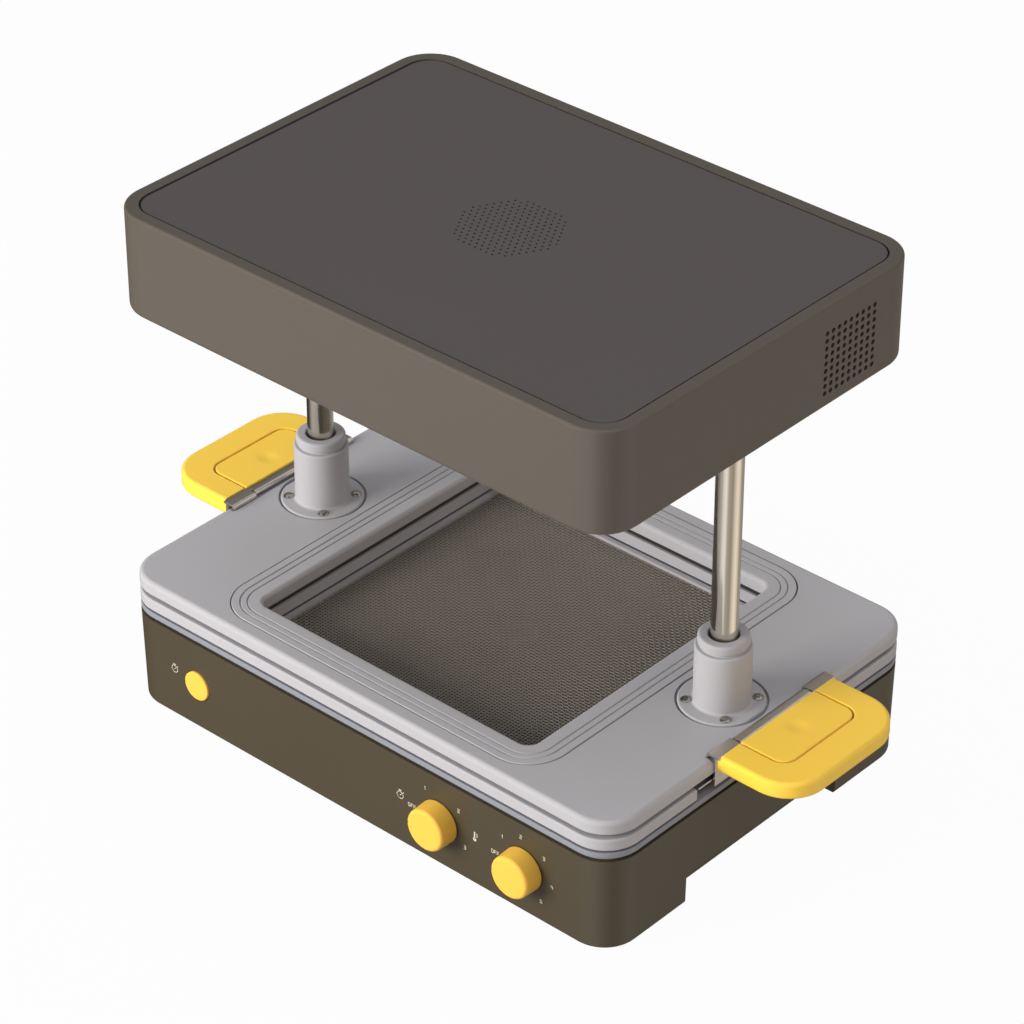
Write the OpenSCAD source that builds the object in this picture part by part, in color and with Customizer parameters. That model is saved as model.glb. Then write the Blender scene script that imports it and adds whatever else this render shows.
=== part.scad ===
/* [Plan] */
// Clear width of the square forming window
window_w = 200; // [160:1:240]
// Width of the framed insert on each side of the window
insert_side = 18.5; // [15:0.5:21]
// Width of the base and the trays on each side of the framed insert
side_land = 61; // [58:0.5:80]
// Depth of the base and the trays in front of and behind the framed insert
front_land = 9; // [6:0.5:30]
// Distance of each post's axis from the framed insert
post_land = 29.4; // [27:0.1:32]
// How far the hood stands back from each side of the base
hood_side_step = 5.5; // [2:0.5:6]
// How far the hood is shorter than the base at the front and at the back
hood_end_step = 3; // [0:0.5:5]

/* [Base] */
// Corner radius of the base and the trays in plan
body_corner_r = 22; // [20:1:36]
// Height of the base housing, without its feet
housing_h = 58.5; // [50:0.5:80]
// Wall thickness of the base housing
housing_wall = 3.2; // [2:0.1:5]
// Thickness of the floor of the housing
housing_floor = 3; // [2:0.1:5]
// How far the housing wall slopes inwards at its foot
housing_draft = 1; // [0.2:0.1:2]
// Rounding of the lower edge of the housing
housing_foot_r = 2; // [1:0.5:10]
// Thickness of the deck plate that closes the housing
deck_t = 4; // [3:0.5:8]
// Height of the dark shadow gap between housing and deck
shadow_gap_h = 1.5; // [0.8:0.1:3]
// Depth of the shadow gap
shadow_gap_inset = 2.5; // [1:0.1:4]

/* [Feet and underside] */
// Height of the rubber feet below the housing
foot_h = 1; // [1:0.1:6]
// Radius of a rubber foot
foot_r = 8; // [5:0.5:12]
// Distance of a foot's centre from the outer faces of the housing
foot_inset = 27; // [24:1:40]
// Width of the plate that closes the underside
bottom_plate_w = 236; // [180:1:244]
// Depth of the plate that closes the underside
bottom_plate_d = 186; // [120:1:200]

/* [Side notches] */
// Length of the finger notch under each side
notch_l = 128; // [80:1:140]
// Height of the finger notch
notch_h = 19.5; // [8:0.5:22]
// Depth of the finger notch
notch_depth = 14; // [8:0.5:14]

/* [Vacuum bed] */
// Corner radius of the forming window
window_r = 7; // [4:0.5:10]
// Width of the soft rim round the mesh
bed_rim_w = 3; // [2:0.5:5]
// Clearance between the bed rim and the window of the lower tray
bed_clear = 0.8; // [0.4:0.1:2]
// Thickness of the woven mesh
mesh_t = 1; // [0.6:0.1:2]
// Openings of the mesh along each side
mesh_openings = 16; // [8:1:17]
// Width of a mesh wire
mesh_wire_w = 1.6; // [0.8:0.1:2.4]
// Radius of the suction hole under the mesh
suction_r = 13.5; // [8:0.5:15]

/* [Posts] */
// Radius of a post
post_r = 7.5; // [6:0.5:9]
// Wall thickness of a post
post_wall = 2; // [1:0.1:3]

/* [Trays] */
// Thickness of the lower tray
lower_tray_t = 7; // [5:0.5:12]
// Thickness of the upper tray
upper_tray_t = 8.2; // [7:0.1:14]
// Free height between the deck and the lower tray at rest
tray_rest_gap = 1.5; // [1:0.1:4]
// Free height between the two trays at rest
clamp_gap = 3.3; // [2:0.1:5]
// Rounding of the upper edge of the upper tray
tray_edge_r = 2.8; // [1:0.1:3]

/* [Collars] */
// Outer radius of a collar
collar_r = 15.7; // [14:0.1:18]
// Height of a collar above the upper tray
collar_h = 43.1; // [30:0.1:43.5]
// Radius of the collar's flange
collar_flange_r = 24; // [22:0.5:25]
// Radius of the open mouth of a collar
collar_mouth_r = 8.4; // [8.1:0.1:10]

/* [Hood] */
// Height of the hood
hood_h = 60.7; // [54:0.1:90]
// Height of the underside of the hood above the table
hood_z = 257.8; // [250:0.1:330]
// How far the hood sits in front of the middle of the base
hood_forward = 3.6; // [0:0.1:4]
// Corner radius of the hood in plan
hood_corner_r = 23.5; // [20:0.5:36]
// Wall thickness of the hood
hood_wall = 3; // [2:0.1:4]
// Width of the rim round the top panel
hood_rim_w = 7.7; // [6:0.1:10]
// Width of the groove round the top panel
panel_groove_w = 1.2; // [0.6:0.1:2]
// Radius of the round perforated field in the top panel
field_r = 30; // [12:1:45]
// Distance between the holes of the field
field_pitch = 3.9; // [3.5:0.1:8]
// Radius of a hole of the field
field_hole_r = 0.7; // [0.4:0.1:1]
// Rows and columns of each side vent
vent_count = 9; // [3:1:11]
// Distance between vent holes along the side
vent_pitch_y = 4.9; // [4:0.1:6]
// Distance between vent holes up the side
vent_pitch_z = 4.45; // [4:0.05:4.5]
// Radius of a vent hole
vent_hole_r = 1.45; // [0.8:0.05:1.7]

/* [Heater] */
// Number of heater tubes
tube_count = 4; // [2:1:6]
// Radius of a heater tube
tube_r = 4.5; // [3:0.5:6]
// How far the reflector reaches past each side of the window
reflector_land = 8; // [6:0.5:10]

/* [Controls] */
// Height of the control axes above the table
control_z = 31; // [28:0.5:33]
// Place of the start button across the front
button_x = -123.5; // [-132:0.5:-112]
// Radius of the start button
button_r = 9; // [6:0.5:11]
// How far the start button stands proud of the front
button_proud = 1.5; // [1.3:0.1:3]
// How far the start button travels
button_travel = 1.2; // [0.6:0.1:1.2]
// Place of the timer knob across the front
timer_x = 60; // [45:0.5:75]
// Place of the heater knob across the front
heater_x = 120; // [108:0.5:128]
// Radius of a knob
knob_r = 13.1; // [11:0.1:15]
// How far a knob reaches in front of the housing
knob_reach = 12; // [10:0.5:18]
// Radius of a control spindle
spindle_r = 3; // [2.5:0.1:3.5]

/* [Rear fittings] */
// Radius of the bore of the vacuum port
port_bore_r = 16; // [14:0.5:17]
// How far the vacuum port reaches behind the housing
port_reach = 12; // [8:0.5:20]
// Place of the mains inlet across the rear
inlet_x = -100; // [-125:0.5:-70]

/* [Handles] */
// Length of a handle along the side
handle_l = 96.3; // [90:0.1:110]
// How far the middle of a handle sits behind the middle of the base
handle_y = 3.9; // [0:0.1:8]
// How far a handle reaches out from the side of the tray
handle_reach = 53.2; // [48:0.1:70]
// Height of a handle above the upper tray
handle_rise = 3.7; // [3.5:0.1:5]
// Thickness of a handle
handle_t = 10.5; // [9:0.1:14]
// Corner radius of a handle in plan
handle_corner_r = 24; // [16:0.5:28]
// Rounding of the edges of a handle
handle_edge_r = 2; // [1:0.1:2.5]
// Length of a latch lever along the side
lever_l = 61.5; // [50:0.1:64]
// How far a latch lever reaches out from the side of the tray
lever_reach = 33; // [26:0.1:34]
// Groove between the lever and the handle
lever_groove = 1.2; // [0.8:0.1:2]
// Thickness of the sheet steel of the brackets and hooks
sheet_t = 1.2; // [0.8:0.1:1.4]

/* [Hidden] */

$fn = 96;

// Overrun of every cut
over = 1;
// Clearance of a loose fit between parts of one assembly
fit_gap = 0.2;
// Clearance of a part that rests or runs just off another
rest_gap = 0.3;
// Radial clearance of a bush or bearing
run_gap = 0.05;
// Radial clearance of a seated part
seat_gap = 0.02;

// Widths and depths that follow from the window
insert_w = window_w + 2 * insert_side;
body_w = insert_w + 2 * side_land;
body_d = insert_w + 2 * front_land;
hood_w = body_w - 2 * hood_side_step;
hood_d = body_d - 2 * hood_end_step;

// Heights of the stacked parts
housing_z0 = foot_h;
housing_z1 = housing_z0 + housing_h;
deck_z0 = housing_z1 + shadow_gap_h;
deck_z1 = deck_z0 + deck_t;
lower_z0 = deck_z1 + tray_rest_gap;
lower_z1 = lower_z0 + lower_tray_t;
upper_z0 = lower_z1 + clamp_gap;
upper_z1 = upper_z0 + upper_tray_t;
hood_z1 = hood_z + hood_h;

// Inside of the housing
inner_inset = housing_wall + housing_draft;
inner_w = body_w - 2 * inner_inset;
inner_d = body_d - 2 * inner_inset;
inner_corner_r = body_corner_r - inner_inset;
floor_z = housing_z0 + housing_floor;
wall_in_y = inner_d / 2;
post_x = insert_w / 2 + post_land;

// Side notches
notch_corner_r = 2;
notch_lining = 2.5;

// Feet and underside
foot_seat = 1.5;
plate_seat = 1.5;
plate_corner_r = 8;
plate_ledge = 6;
screw_r = 1.5;
screw_hole_r = 1.6;
screw_head_r = 2.8;
screw_head_h = 1.8;
screw_end_gap = 1;
boss_r = 4;
boss_h = 5;
bottom_screw_inset = 3;

// Deck edges
deck_low_r = 1.4;
deck_top_r = 0.6;
post_clear = 1;

// Vacuum bed
bed_rim_out = window_w - bed_clear;
bed_rim_in = bed_rim_out - 2 * bed_rim_w;
bed_rim_r = window_r + 1;
bed_rim_rise = 0.5;
mesh_w = bed_rim_in - fit_gap;
mesh_r = bed_rim_r - bed_rim_w;
mesh_rise = 2.5;
mesh_z1 = deck_z0 + mesh_rise;
mesh_z0 = mesh_z1 - mesh_t;
mesh_frame_w = 2.4;
mesh_pitch = (mesh_w - 2 * mesh_frame_w + mesh_wire_w) / mesh_openings;
mesh_hole_w = mesh_pitch - mesh_wire_w;
pan_wall = 3.4;
pan_t = 1.5;
pan_depth = 4.5;
pan_flange_w = 10;
pan_floor_z = mesh_z0 - pan_depth;
pan_stud_r = 2;
pan_stud_share = 0.27;

// Suction duct and rear fittings
duct_wall = 1.5;
duct_z = 33.5;
duct_r = suction_r + duct_wall;
duct_flange_r = suction_r + 6;
duct_flange_t = 2;
rear_seat = 1.4;
rear_seat_y = body_d / 2 - rear_seat;
port_wall = 3;
port_r = port_bore_r + port_wall;
port_flange_w = 4;
port_flange_t = 2.6;
port_stub = 10.6;
duct_overlap = 8;
inlet_body_w = 27;
inlet_body_h = 19.5;
inlet_lip = 2.6;
inlet_lip_t = 2.2;
inlet_depth = 20;
inlet_cavity_w = 22;
inlet_cavity_h = 14.5;
inlet_cavity_depth = 15;
inlet_corner_r = 3;
inlet_pin_w = 2;
inlet_pin_h = 4;
inlet_pin_l = 9.5;
inlet_pin_gap = 7;
inlet_pin_rise = 2;

// Control board and controls
control_depth = 11;
board_y = -wall_in_y + control_depth;
board_t = 1.6;
board_end = 18.5;
board_w = 2 * (board_end - button_x);
board_h = 36;
board_screw_x = 90;
board_screw_inset = 4;
control_body_r = 8;
bushing_r = 4.5;
bushing_out = 3;
nut_r = 7;
nut_t = 2;
spindle_in = 3.2;
knob_edge_r = 1.6;
knob_recess_r = 8.4;
knob_recess = 4;
knob_cap = 2.4;
knob_y = -body_d / 2;
index_r = 0.8;
index_l = 3.2;
button_edge_r = 0.8;
button_flange_w = 1.4;
button_flange_t = 1.2;
button_stem_r = 2.5;
button_face_y = -body_d / 2 + housing_draft / 2 - button_proud;
switch_w = 12;
switch_l = 6.7;
switch_back = 1.1;

// Posts, sockets and clamps
socket_wall = 5;
socket_plate_t = 3;
socket_plate_l = 60;
socket_screw_y = 22;
clamp_wall = 7;
clamp_h = 7.5;
clamp_plate_t = 3;
clamp_plate_l = 52;
clamp_screw_y = 20;

// Hood
hood_y = -hood_forward;
hood_top_r = 1.5;
hood_low_r = 3;
hood_in_w = hood_w - 2 * hood_wall;
hood_in_d = hood_d - 2 * hood_wall;
hood_in_r = hood_corner_r - hood_wall;
panel_t = 3;
panel_sunk = 0.5;
panel_ledge = 3;
ledge_w = 6;
panel_open_w = hood_w - 2 * hood_rim_w;
panel_open_d = hood_d - 2 * hood_rim_w;
panel_open_r = hood_corner_r - hood_rim_w;
panel_w = panel_open_w - 2 * panel_groove_w;
panel_d = panel_open_d - 2 * panel_groove_w;
panel_r = panel_open_r - panel_groove_w;
panel_z0 = hood_z1 - panel_sunk - panel_t;
ledge_z0 = panel_z0 - panel_ledge;
vent_inset = 59;
vent_y = hood_y + hood_d / 2 - vent_inset;
vent_rise = 27.2;
frame_t = 2.5;
frame_drop = 8.5;
frame_z1 = ledge_z0 - frame_drop;
frame_z0 = frame_z1 - frame_t;
frame_inset = 4;
frame_side = 51.5;
frame_end = 30.5;
frame_window_w = hood_in_w - 2 * frame_side;
frame_window_d = hood_in_d - 2 * frame_end;
column_r = 4;
column_reach_share = 0.5;
column_x = hood_in_w / 2 - hood_in_r + hood_in_r * column_reach_share;
column_y = hood_in_d / 2 - hood_in_r + hood_in_r * column_reach_share;
base_plate_t = 2;
base_plate_rise = 1.2;
hood_plate_z0 = hood_z + base_plate_rise;
hood_plate_z1 = hood_plate_z0 + base_plate_t;
hood_window_w = window_w + 5;
collar_pass_r = collar_r + 1.5;
standoff_r = 4;
standoff_inset = 12;
standoff_x = hood_in_w / 2 - standoff_inset;
standoff_y = hood_in_d / 2 - hood_in_r - standoff_inset;

// Heater
reflector_w = window_w + 2 * reflector_land;
reflector_t = 1;
reflector_h = 30;
reflector_flange = 5;
reflector_r = 10;
tube_rise = 14.5;
tube_z = hood_plate_z1 + tube_rise;
holder_w = 16;
holder_h = 16;
holder_t = 8;
tube_seat = 5;
terminal_w = 34;
terminal_d = 18;
terminal_h = 10;
terminal_screw_r = 2.4;
terminal_screw_pitch = 10;
terminal_screw_depth = 4;

// Trays
low_edge_r = 0.8;
lower_top_r = 1.2;
bush_wall = 3;
bush_flange_w = 3;
bush_r = post_r + run_gap + bush_wall;
lower_flange_r = bush_r + bush_flange_w;
lower_flange_t = 2;
gasket_w = 5;
gasket_set = 1.5;
gasket_t = clamp_gap - rest_gap;
insert_flange_w = 4;
insert_flange_t = 3.6;
insert_rise = 0.3;
insert_z1 = upper_z1 + insert_rise;
insert_edge_r = 2.2;
insert_r = window_r + insert_side;
insert_groove_w = 1.1;
insert_groove_depth = 0.9;
insert_groove_in = [6, 10];
tray_seat = insert_flange_t;

// Collars
flange_t = 2.6;
flange_sunk = 2.1;
flange_z0 = upper_z1 - flange_sunk;
flange_clear = 1.4;
flange_flat_x = 23;
spigot_r = 12.4;
collar_bush_h = 10;
collar_ring_h = 5;
collar_groove_h = 1.8;
collar_ring_inset = 1.5;
collar_groove_inset = 2.6;
collar_edge_r = 0.8;
collar_z1 = upper_z1 + collar_h;
collar_ring_z0 = collar_z1 - collar_ring_h;
collar_body_z1 = collar_ring_z0 - collar_groove_h;
collar_top_bush_z = collar_body_z1 - collar_bush_h;
flange_screw_r = 19.3;
flange_screw_count = 4;

// Handles and latches, for the right side; the left side is mirrored
side_x = body_w / 2;
handle_z1 = upper_z1 + handle_rise;
handle_z0 = handle_z1 - handle_t;
plate_half_l = handle_l / 2 + 1;
lever_half_l = lever_l / 2;
pin_r = 1;
barrel_wall = 0.85;
barrel_r = pin_r + run_gap + barrel_wall;
rebate = 1;
rebate_w = 5.4;
rebate_z = upper_z1 - rebate;
hinge_x = side_x - 1.9;
hinge_z = rebate_z + rest_gap + barrel_r;
steel_z1 = hinge_z + barrel_r;
bracket_in_x = side_x - 5.2;
bracket_flange_t = 1.5;
flange_x = side_x + bracket_flange_t;
bracket_over = 1.8;
bracket_drop = 7.7;
bar_drop = 1.5;
ear_t = 1.2;
leg_x = flange_x + rest_gap;
leg_out_x = leg_x + sheet_t;
barrel_end_gap = 1;
tab_l = 18;
tab_drop = 5;
tab_z1 = handle_z1 - tab_drop;
stud_r = 2;
stud_h = 2.4;
stud_y = 16;
leg_w = 14;
leg_y = 20;
leg_foot_rise = 1.1;
leg_foot_z = deck_z1 + leg_foot_rise;
relief_x = side_x - 6;
relief_half_l = 62;
relief_corner_r = 2;
catch_half_l = 60.5;
catch_tip_x = side_x - 0.3;
catch_tip_t = 1.2;
catch_slope = 50;
hook_gap = 0.8;
hook_in_x = side_x - 3.3;
lever_corner_r = 8;
lever_dish_r = 7.5;
lever_dish = 0.5;
handle_screw_r = 1.5;
handle_screw_l = 10;
handle_screw_head_r = 2.4;
handle_screw_head_t = 0.9;
bracket_screw_rise = 2.6;
bracket_screw_z = upper_z0 + bracket_screw_rise;
arm_screw_y = (handle_l / 2 + lever_half_l + lever_groove) / 2;

housing_colour = [0.27, 0.25, 0.2];
hood_colour = [0.33, 0.31, 0.3];
panel_colour = [0.32, 0.31, 0.32];
tray_colour = [0.66, 0.66, 0.69];
deck_colour = [0.52, 0.54, 0.58];
yellow = [0.96, 0.77, 0.26];
steel = [0.76, 0.73, 0.68];
dark = [0.16, 0.15, 0.14];
board_green = [0.1, 0.33, 0.2];
ceramic = [0.88, 0.85, 0.78];

// Rounded rectangle centred on the origin
module rounded_rect(w, d, r) {
    square([w - 2 * r, d], center = true);
    square([w, d - 2 * r], center = true);
    for (sx = [-1, 1])
        for (sy = [-1, 1])
            translate([sx * (w / 2 - r), sy * (d / 2 - r)])
                circle(r = r);
}

// Plate with a rounded-rectangle plan, from height z0 to z1
module plate(w, d, r, z0, z1) {
    translate([0, 0, z0])
        linear_extrude(z1 - z0)
            rounded_rect(w, d, r);
}

// Sweeps a profile round a rounded rectangle. The profile's X runs outwards from the centres of the
// corners and its Y is the height.
module swept_rim(w, d, r) {
    cx = w / 2 - r;
    cy = d / 2 - r;
    for (c = [[cx, cy, 0], [-cx, cy, 90], [-cx, -cy, 180], [cx, -cy, 270]])
        translate([c[0], c[1], 0])
            rotate(c[2])
                rotate_extrude(angle = 90)
                    children();
    for (s = [[cx, 0, 0, cy], [0, cy, 90, cx], [-cx, 0, 180, cy], [0, -cy, 270, cx]])
        translate([s[0], s[1], 0])
            rotate(s[2])
                rotate([90, 0, 0])
                    linear_extrude(2 * s[3], center = true)
                        children();
}

// Solid slab whose edge follows a profile that starts at X = 0
module moulded_slab(w, d, r, z0, z1) {
    swept_rim(w, d, r)
        children();
    translate([r - w / 2, r - d / 2, z0])
        cube([w - 2 * r, d - 2 * r, z1 - z0]);
}

// Edge profile with a rounded top and bottom edge
module edge_profile(r, z0, z1, low_r, top_r) {
    translate([0, z0 + low_r])
        square([r, z1 - z0 - low_r - top_r]);
    translate([0, z0])
        square([r - low_r, low_r]);
    translate([0, z1 - top_r])
        square([r - top_r, top_r]);
    translate([r - low_r, z0 + low_r])
        circle(r = low_r);
    translate([r - top_r, z1 - top_r])
        circle(r = top_r);
}

// Box between two corners
module block(x0, x1, y0, y1, z0, z1) {
    translate([x0, y0, z0])
        cube([x1 - x0, y1 - y0, z1 - z0]);
}

// Upright cylinder from height z0 to z1
module pillar(r, z0, z1) {
    translate([0, 0, z0])
        cylinder(r = r, h = z1 - z0);
}

// Upright ring from height z0 to z1
module ring(r_out, r_in, z0, z1) {
    difference() {
        pillar(r_out, z0, z1);
        pillar(r_in, z0 - over, z1 + over);
    }
}

// Cylinder along Y from y0 to y1
module rod_y(r, y0, y1) {
    translate([0, y0, 0])
        rotate([-90, 0, 0])
            cylinder(r = r, h = y1 - y0);
}

// Cylinder along X from x0 to x1
module rod_x(r, x0, x1) {
    translate([x0, 0, 0])
        rotate([0, 90, 0])
            cylinder(r = r, h = x1 - x0);
}

// Puts a part on both post axes
module at_posts() {
    for (s = [-1, 1])
        translate([s * post_x, 0, 0])
            children();
}

// Puts a part at the four corners of a rectangle
module at_corners(x, y) {
    for (sx = [-1, 1])
        for (sy = [-1, 1])
            translate([sx * x, sy * y, 0])
                children();
}

// Cross-head screw whose head stands on z
module screw(z, shank_l, head_h = screw_head_h) {
    difference() {
        union() {
            pillar(screw_head_r, z, z + head_h);
            pillar(screw_r, z - shank_l, z + head_h / 4);
        }
        for (turn = [0, 90])
            translate([0, 0, z + head_h])
                rotate(turn)
                    cube([screw_head_r, screw_r / 2, head_h], center = true);
    }
}

// The same screw with its head below z
module screw_down(z, shank_l, head_h = screw_head_h) {
    translate([0, 0, 2 * z])
        mirror([0, 0, 1])
            screw(z, shank_l, head_h);
}

// Base housing

module housing_profile() {
    foot_x = body_corner_r - housing_draft;
    polygon([[0, housing_z0 + housing_foot_r], [foot_x, housing_z0 + housing_foot_r],
        [body_corner_r, housing_z1], [0, housing_z1]]);
    translate([0, housing_z0])
        square([foot_x - housing_foot_r, housing_foot_r]);
    translate([foot_x - housing_foot_r, housing_z0 + housing_foot_r])
        circle(r = housing_foot_r);
}

// Space of a side notch, grown by extra on every closed side
module notch_space(extra) {
    for (s = [-1, 1])
        translate([s * (side_x - notch_depth / 2 - extra / 2 + over / 2), 0, 0])
            rotate([90, 0, 90])
                linear_extrude(notch_depth + extra + over, center = true)
                    translate([0, housing_z0])
                        rounded_rect(notch_l + 2 * extra, 2 * (notch_h + extra), notch_corner_r);
}

module bottom_screw_places() {
    at_corners(bottom_plate_w / 2 - bottom_screw_inset, bottom_plate_d / 2 - bottom_screw_inset)
        children();
}

module board_screw_places() {
    for (sx = [-1, 1])
        for (sz = [-1, 1])
            translate([sx * board_screw_x, 0, control_z + sz * (board_h / 2 - board_screw_inset)])
                children();
}

// Hollow of the housing, less what stands in it
module housing_hollow() {
    difference() {
        plate(inner_w, inner_d, inner_corner_r, floor_z, housing_z1 + over);
        notch_space(notch_lining);
        bottom_screw_places()
            pillar(boss_r, floor_z - over, floor_z + boss_h);
        board_screw_places()
            rod_y(boss_r, -wall_in_y - over, board_y);
    }
}

module base_housing() {
    color(housing_colour)
        difference() {
            moulded_slab(body_w, body_d, body_corner_r, housing_z0, housing_z1)
                housing_profile();
            housing_hollow();
            notch_space(0);
            plate(bottom_plate_w - 2 * plate_ledge, bottom_plate_d - 2 * plate_ledge, plate_corner_r,
                housing_z0 - over, floor_z + over);
            plate(bottom_plate_w + fit_gap, bottom_plate_d + fit_gap, plate_corner_r,
                housing_z0 - over, housing_z0 + plate_seat);
            bottom_screw_places()
                pillar(screw_hole_r, housing_z0 - over, floor_z + boss_h - screw_end_gap);
            at_corners(side_x - foot_inset, body_d / 2 - foot_inset)
                pillar(foot_r + seat_gap, housing_z0 - over, housing_z0 + foot_seat);
            board_screw_places()
                rod_y(screw_hole_r, -wall_in_y + screw_end_gap, board_y + over);
            for (x = [timer_x, heater_x])
                translate([x, 0, control_z])
                    rod_y(bushing_r + fit_gap, -body_d / 2 - over, -wall_in_y + over);
            translate([button_x, 0, control_z])
                rod_y(button_r + rest_gap, -body_d / 2 - over, -wall_in_y + over);
            translate([0, 0, duct_z]) {
                rod_y(port_r + fit_gap, wall_in_y - over, body_d / 2 + over);
                rod_y(port_r + port_flange_w + fit_gap, rear_seat_y, body_d / 2 + over);
            }
            translate([inlet_x, 0, control_z])
                rotate([-90, 0, 0]) {
                    plate(inlet_body_w + fit_gap, inlet_body_h + fit_gap, inlet_corner_r,
                        wall_in_y - over, body_d / 2 + over);
                    plate(inlet_body_w + 2 * inlet_lip + fit_gap, inlet_body_h + 2 * inlet_lip + fit_gap,
                        inlet_corner_r, rear_seat_y, body_d / 2 + over);
                }
            at_posts()
                for (sy = [-1, 1])
                    translate([0, sy * socket_screw_y, 0])
                        pillar(screw_hole_r, housing_z0 - over, floor_z + over);
        }
}

module base_deck() {
    color(deck_colour)
        difference() {
            union() {
                plate(body_w - 2 * shadow_gap_inset, body_d - 2 * shadow_gap_inset,
                    body_corner_r - shadow_gap_inset, housing_z1, deck_z0 + deck_t / 2);
                moulded_slab(body_w, body_d, body_corner_r, deck_z0, deck_z1)
                    edge_profile(body_corner_r, deck_z0, deck_z1, deck_low_r, deck_top_r);
            }
            plate(bed_rim_out, bed_rim_out, bed_rim_r, housing_z1 - over, deck_z1 + over);
            at_posts()
                pillar(post_r + post_clear, housing_z1 - over, deck_z1 + over);
        }
}

module bottom_plate() {
    color(dark)
        difference() {
            plate(bottom_plate_w, bottom_plate_d, plate_corner_r, housing_z0, housing_z0 + plate_seat);
            bottom_screw_places()
                pillar(screw_hole_r, housing_z0 - over, housing_z0 + plate_seat + over);
        }
}

module bottom_screws() {
    color(steel)
        bottom_screw_places()
            screw_down(housing_z0, boss_h, foot_h / 2);
}

module feet() {
    color(dark)
        at_corners(side_x - foot_inset, body_d / 2 - foot_inset)
            pillar(foot_r, 0, housing_z0 + foot_seat);
}

// Vacuum bed

module vacuum_plenum() {
    pan_in = bed_rim_in - 2 * pan_wall;
    pan_r = mesh_r;
    flange_top = housing_z1;
    color(dark)
        difference() {
            union() {
                plate(bed_rim_in - fit_gap, bed_rim_in - fit_gap, pan_r, pan_floor_z - pan_t, mesh_z0);
                plate(bed_rim_out + 2 * pan_flange_w, bed_rim_out + 2 * pan_flange_w, bed_rim_r,
                    flange_top - pan_t, flange_top);
            }
            difference() {
                plate(pan_in, pan_in, pan_r, pan_floor_z, mesh_z0 + over);
                for (sx = [-1 : 1])
                    for (sy = [-1 : 1])
                        if (sx != 0 || sy != 0)
                            translate([sx * pan_in * pan_stud_share, sy * pan_in * pan_stud_share, 0])
                                pillar(pan_stud_r, pan_floor_z - over, mesh_z0);
            }
            pillar(suction_r, pan_floor_z - pan_t - over, mesh_z0 + over);
        }
}

module bed_rim() {
    color(tray_colour)
        difference() {
            plate(bed_rim_out, bed_rim_out, bed_rim_r, housing_z1, deck_z1 + bed_rim_rise);
            plate(bed_rim_in, bed_rim_in, bed_rim_r - bed_rim_w, housing_z1 - over,
                deck_z1 + bed_rim_rise + over);
        }
}

module vacuum_mesh() {
    first = (mesh_pitch - mesh_pitch * mesh_openings) / 2;
    color(dark)
        translate([0, 0, mesh_z0])
            linear_extrude(mesh_t)
                difference() {
                    rounded_rect(mesh_w, mesh_w, mesh_r);
                    for (i = [0 : mesh_openings - 1])
                        for (j = [0 : mesh_openings - 1])
                            translate([first + i * mesh_pitch, first + j * mesh_pitch])
                                square(mesh_hole_w, center = true);
                }
}

module suction_duct() {
    duct_end = rear_seat_y - port_stub + duct_overlap - rest_gap;
    color(dark)
        difference() {
            union() {
                translate([0, 0, duct_z])
                    rod_y(duct_r, -duct_r, duct_end);
                pillar(duct_r, duct_z, pan_floor_z - pan_t);
                pillar(duct_flange_r, pan_floor_z - pan_t - duct_flange_t, pan_floor_z - pan_t);
            }
            translate([0, 0, duct_z])
                rod_y(suction_r, -suction_r, duct_end + over);
            pillar(suction_r, duct_z, pan_floor_z);
        }
}

module vacuum_port() {
    stub_y = rear_seat_y - port_stub;
    color(dark)
        translate([0, 0, duct_z])
            difference() {
                union() {
                    rod_y(port_r, stub_y, body_d / 2 + port_reach);
                    rod_y(port_r + port_flange_w, rear_seat_y, rear_seat_y + port_flange_t);
                }
                rod_y(duct_r + fit_gap, stub_y - over, stub_y + duct_overlap + over);
                rod_y(port_bore_r, stub_y + duct_overlap, body_d / 2 + port_reach + over);
            }
}

module mains_inlet() {
    y1 = rear_seat_y + inlet_lip_t;
    cavity_y = y1 - inlet_cavity_depth;
    color(dark)
        translate([inlet_x, 0, control_z]) {
            difference() {
                rotate([-90, 0, 0]) {
                    plate(inlet_body_w, inlet_body_h, inlet_corner_r - fit_gap, y1 - inlet_depth, y1);
                    plate(inlet_body_w + 2 * inlet_lip, inlet_body_h + 2 * inlet_lip, inlet_corner_r,
                        rear_seat_y, y1);
                }
                rotate([-90, 0, 0])
                    plate(inlet_cavity_w, inlet_cavity_h, inlet_corner_r, cavity_y, y1 + over);
            }
            for (i = [-1 : 1])
                translate([i * inlet_pin_gap, 0, i == 0 ? inlet_pin_rise : -inlet_pin_rise])
                    block(-inlet_pin_w / 2, inlet_pin_w / 2, cavity_y - over, cavity_y + inlet_pin_l,
                        -inlet_pin_h / 2, inlet_pin_h / 2);
        }
}

// Controls

module control_board() {
    color(board_green)
        difference() {
            block(-board_w / 2, board_w / 2, board_y, board_y + board_t, control_z - board_h / 2,
                control_z + board_h / 2);
            board_screw_places()
                rod_y(screw_hole_r, board_y - over, board_y + board_t + over);
        }
}

module board_screws() {
    color(steel)
        board_screw_places()
            translate([0, board_y + board_t, 0])
                rotate([-90, 0, 0])
                    screw(0, control_depth - 2 * screw_end_gap);
}

// Fixed body of a rotary control, with the threaded bushing that passes through the front
module rotary_control(x) {
    color(steel)
        translate([x, 0, control_z])
            difference() {
                union() {
                    rod_y(control_body_r, -wall_in_y, board_y);
                    rod_y(bushing_r, -body_d / 2 - bushing_out, -wall_in_y);
                }
                rod_y(spindle_r + run_gap, -body_d / 2 - bushing_out - over, board_y - spindle_in + rest_gap);
            }
}

module timer_control() {
    rotary_control(timer_x);
}

module heater_control() {
    rotary_control(heater_x);
}

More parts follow.
